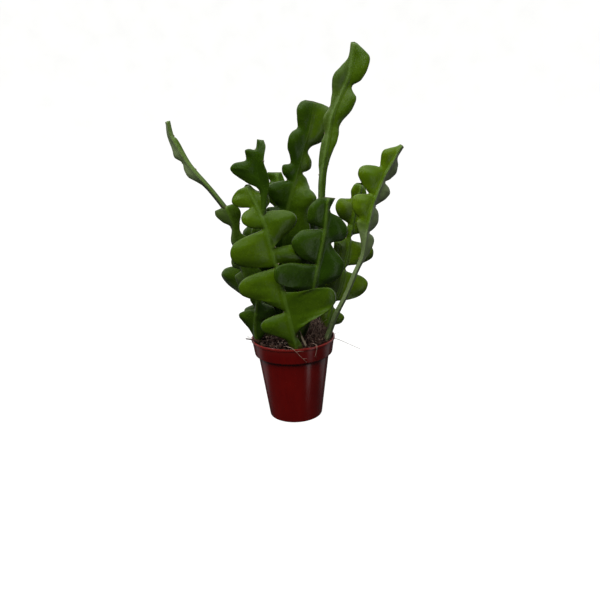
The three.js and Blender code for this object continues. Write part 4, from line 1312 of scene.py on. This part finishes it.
for name, root in ROOTS.items():
    tangle = Heap()
    tangle.add(*knotty(root["places"], root["radius"], rng, sides=8, steps=26), root["shade"])
    add_side_roots(tangle, root, rng)
    tangle.piece(name + "_dry", FIBRE, "dry_fibre", (name,))
twig = Heap()
twig.add(*knotty(TWIG, TWIG_RADIUS, rng, sides=8, steps=26), TWIG_SHADE)
twig.piece("twig_over_rim_dry", FIBRE, "dry_fibre", ("twig_over_rim",))
for k, places in enumerate(COIR_FIBRES):
    fibre = Heap()
    on_mix = [[x, y, mix_height(x, y) + z] for x, y, z in places]
    fibre.add(*knotty(on_mix, COIR_RADIUS, rng, sides=6, steps=18), COIR_SHADE)
    fibre.piece(f"coir_fibre_{k + 1}_stiff", FIBRE, "dry_fibre", (f"coir_fibre_{k + 1}",))
print("roots:", len(ROOTS), "twig: 1, stiff fibres:", len(COIR_FIBRES))

# %% [markdown]
# ## The dry scale and the bark
#
# A papery scale, a dead bud sheath, clings to the foot of the front cutting. It is a thin curled
# strip with a ragged edge that narrows upwards. The bark chips are flat splinters with broken
# edges, made from a ball that is cut into ledges, squashed and roughened.

# %% Papery scale
SCALE_PATH = [[8.2, -19.4, 53.4], [6, -20, 58.5], [4.6, -20.6, 64]]
SCALE_STEPS, SCALE_ACROSS = 22, 9
SCALE_HALF, SCALE_HALF_THICK, SCALE_CURL = 0.6, 0.16, 0.55
SCALE_FACES = [0.35, -1, 0]

def make_scale():
    share = np.linspace(0, 1, SCALE_STEPS + 1)
    path = curve_at(SCALE_PATH, share)
    along = unit(np.gradient(path, axis=0))
    side = unit(np.cross(along, SCALE_FACES))
    face = np.cross(side, along)
    belly = 0.55 + 0.6 * np.sin(math.pi * (share * 0.8 + 0.12))
    width = SCALE_HALF * belly * (1 - 0.55 * share ** 3)
    rows = []
    for thick in (SCALE_HALF_THICK, -SCALE_HALF_THICK):
        row = []
        for u in np.linspace(-1, 1, SCALE_ACROSS):
            ragged = 1 + 0.1 * np.sin(share * 23 + u * 2)
            row.append(path + side * (u * width * ragged)[:, None]
                       + face * (SCALE_CURL * u * u + thick * (1 - 0.6 * u * u)))
        rows.append(row)
    rings = np.stack(rows[0] + rows[1][::-1], axis=1)
    return rings.reshape(-1, 3), zipped_tube(SCALE_STEPS + 1, 2 * SCALE_ACROSS)

def make_paper():
    paper = Finish("papery_scale", Specular_IOR_Level=0.2)
    veins = paper.noise(0.5, 3, 0.6, stretch=(1, 1, 0.12))
    cloud = paper.noise(2.5, 3, 0.6)
    tan = paper.ramp(veins, (0.35, (0.20, 0.15, 0.095)), (0.65, (0.46, 0.40, 0.29)))
    tan = paper.mix(paper.between(cloud, 0.5, 0.7) * 0.6, tan, (0.13, 0.075, 0.045))
    return paper.surface(veins, 0.12, Base_Color=tan, Roughness=0.62 + veins * 0.2)

add_piece("dry_scale_paper", *make_scale(), make_paper(), "dry_fibre", ("dry_scale",))

# %% Bark chips
CHIPS = [[-13, -17, 20], [-8, -19.5, 75], [16, -12.5, 130], [-19, -14, 165]]
CHIP_HALF = np.array([2, 1.2, 0.7])
CHIP_ABOVE = CHIP_HALF[2] + 0.25
LEDGES, LEDGE_SHARE = 2.5, 0.6
CHIP_ROUGH = 0.16
CHIP_LEAN = (0.12, 0.08)

def make_bark():
    bark = Finish("bark_chip", Specular_IOR_Level=0.15)
    layers = bark.noise(0.7, 4, 0.65, stretch=(1, 1, 3))
    cloud = bark.noise(1.6, 3, 0.6)
    brown = bark.ramp(layers, (0.3, (0.020, 0.011, 0.008)), (0.6, (0.062, 0.033, 0.022)),
                      (0.8, (0.13, 0.075, 0.05)))
    brown = bark.mix(bark.between(cloud, 0.55, 0.75) * 0.5, brown, (0.15, 0.10, 0.075))
    return bark.surface(layers + cloud * 0.4, 0.35, Base_Color=brown, Roughness=0.8 + cloud * 0.15)

BARK = make_bark()
rng = np.random.default_rng(11)
CHIP, CHIP_FACES = ball_shape(9, 14)
stepped = np.round(CHIP[:, 2] * LEDGES) / LEDGES
for k, (x, y, turn) in enumerate(CHIPS):
    ledges = stepped * LEDGE_SHARE + CHIP[:, 2] * (1 - LEDGE_SHARE)
    body = np.column_stack([CHIP[:, 0], CHIP[:, 1], ledges]) * CHIP_HALF
    body *= 1 + CHIP_ROUGH * rng.normal(size=(len(CHIP), 1)).clip(-1.2, 1.2)
    c, s = math.cos(math.radians(turn)), math.sin(math.radians(turn))
    tilt = np.array([[c, -s, 0], [s, c, 0], [*CHIP_LEAN, 1]])
    seat = [x, y, mix_height(x, y) + CHIP_ABOVE]
    add_piece(f"bark_chip_{k + 1}_rough", body @ tilt.T + seat, CHIP_FACES, BARK, "bark",
              (f"bark_chip_{k + 1}",), smooth=False)
print("scale and", len(CHIPS), "bark chips made")

# %% [markdown]
# ## The studio
#
# The photograph is bright and soft, with light from above and from the front and a white ground.
# Here a pale floor runs up into a round wall, so there is no horizon from any side. It glows by
# itself, and it neither lights the plant nor shows in its gloss, because so much white from below
# would wash out the greens. Two large lamps light the plant, and the world fills in the rest,
# bright above and behind and dim in front. Strips and cards at the sides light the gloss alone:
# they make the streaks down the pot and the grey sheen on its flanks.

# %% Pale floor that runs up into a wall
FLOOR_GLOW = 1.18
FLOOR_SHARE = 0.1
FLOOR_RADIUS, FLOOR_BEND, WALL_TOP = 1300, 500, 2400
BEND_STEPS = 14
FLOOR_SIDES = 64

def make_floor():
    profile = [(0, 0)]
    profile += [(FLOOR_RADIUS + FLOOR_BEND * math.sin(a), FLOOR_BEND * (1 - math.cos(a)))
                for a in np.linspace(0, math.pi / 2, BEND_STEPS)]
    profile.append((FLOOR_RADIUS + FLOOR_BEND, WALL_TOP))
    points, faces = turned_section(profile, FLOOR_SIDES)
    mesh = new_mesh("floor", points, [f[::-1] for f in faces])
    mesh.shade_smooth()
    pale = Finish("pale_floor", Specular_IOR_Level=0.1, Emission_Strength=FLOOR_GLOW)
    speckle = pale.noise(60, 3, 0.5)
    grey = pale.ramp(speckle, (0.3, (0.80, 0.80, 0.79)), (0.7, (0.84, 0.84, 0.83)))
    lit = pale.mix(FLOOR_SHARE, (0.0, 0.0, 0.0), grey)
    mesh.materials.append(pale.surface(Base_Color=lit, Emission_Color=grey, Roughness=0.8))
    floor = add_object("floor", mesh)
    floor.visible_glossy = False
    floor.visible_diffuse = False
    floor.visible_shadow = False

make_floor()

# %% World
SKY_AIM = (0.0, 0.5, 0.87)
SKY_FROM, SKY_TO = 0.1, 0.85
SKY_DIM, SKY_BRIGHT = 0.04, 1.0

class Sky(Finish):
    """The same tools on the world's tree, which has a background in place of a shader."""

    def __init__(self, world):
        self.tree = world.node_tree

def make_world():
    world = bpy.data.worlds.new("studio")
    world.use_nodes = True
    bpy.context.scene.world = world
    sky = Sky(world)
    where = sky.node("ShaderNodeTexCoord", output="Generated")
    height = sky.node("ShaderNodeVectorMath", {"operation": "DOT_PRODUCT"},
                      {0: where, 1: SKY_AIM}, "Value")
    share = sky.between(height, SKY_FROM, SKY_TO)
    background = sky.tree.nodes["Background"]
    sky.feed(background.inputs["Color"], (1, 1, 1))
    sky.feed(background.inputs["Strength"], SKY_DIM + share * (SKY_BRIGHT - SKY_DIM))

make_world()
bpy.context.scene.view_settings.view_transform = "Standard"

# %% Soft lights: name, place, width, height, power and whether the gloss alone shows it
PLANT_MIDDLE = Vector((0, 0, 0.1))
LIGHTS = [
    ("overhead", (-0.15, 0.1, 1.5), 1.1, 1.1, 15, False),
    ("front_box", (-0.22, -1.0, 1.25), 1.0, 0.8, 21, False),
    ("strip_right", (0.78, -0.62, -0.12), 0.2, 1.1, 0.75, True),
    ("strip_far", (0.72, 0.66, -0.02), 0.06, 0.5, 0.12, True),
    ("card_left", (-0.87, 0.5, 0.0), 0.65, 1.1, 0.48, True),
    ("card_right", (0.9, 0.42, 0.0), 0.55, 1.1, 0.52, True),
]
for name, place, width, height, power, in_gloss in LIGHTS:
    light = bpy.data.lights.new(name, "AREA")
    light.shape, light.size, light.size_y, light.energy = "RECTANGLE", width, height, power
    lamp = add_object(name, light)
    lamp.location = place
    lamp.rotation_euler = (PLANT_MIDDLE - Vector(place)).to_track_quat("-Z", "Y").to_euler()
    lamp.visible_glossy, lamp.visible_diffuse = in_gloss, not in_gloss
print("lights:", len(LIGHTS))
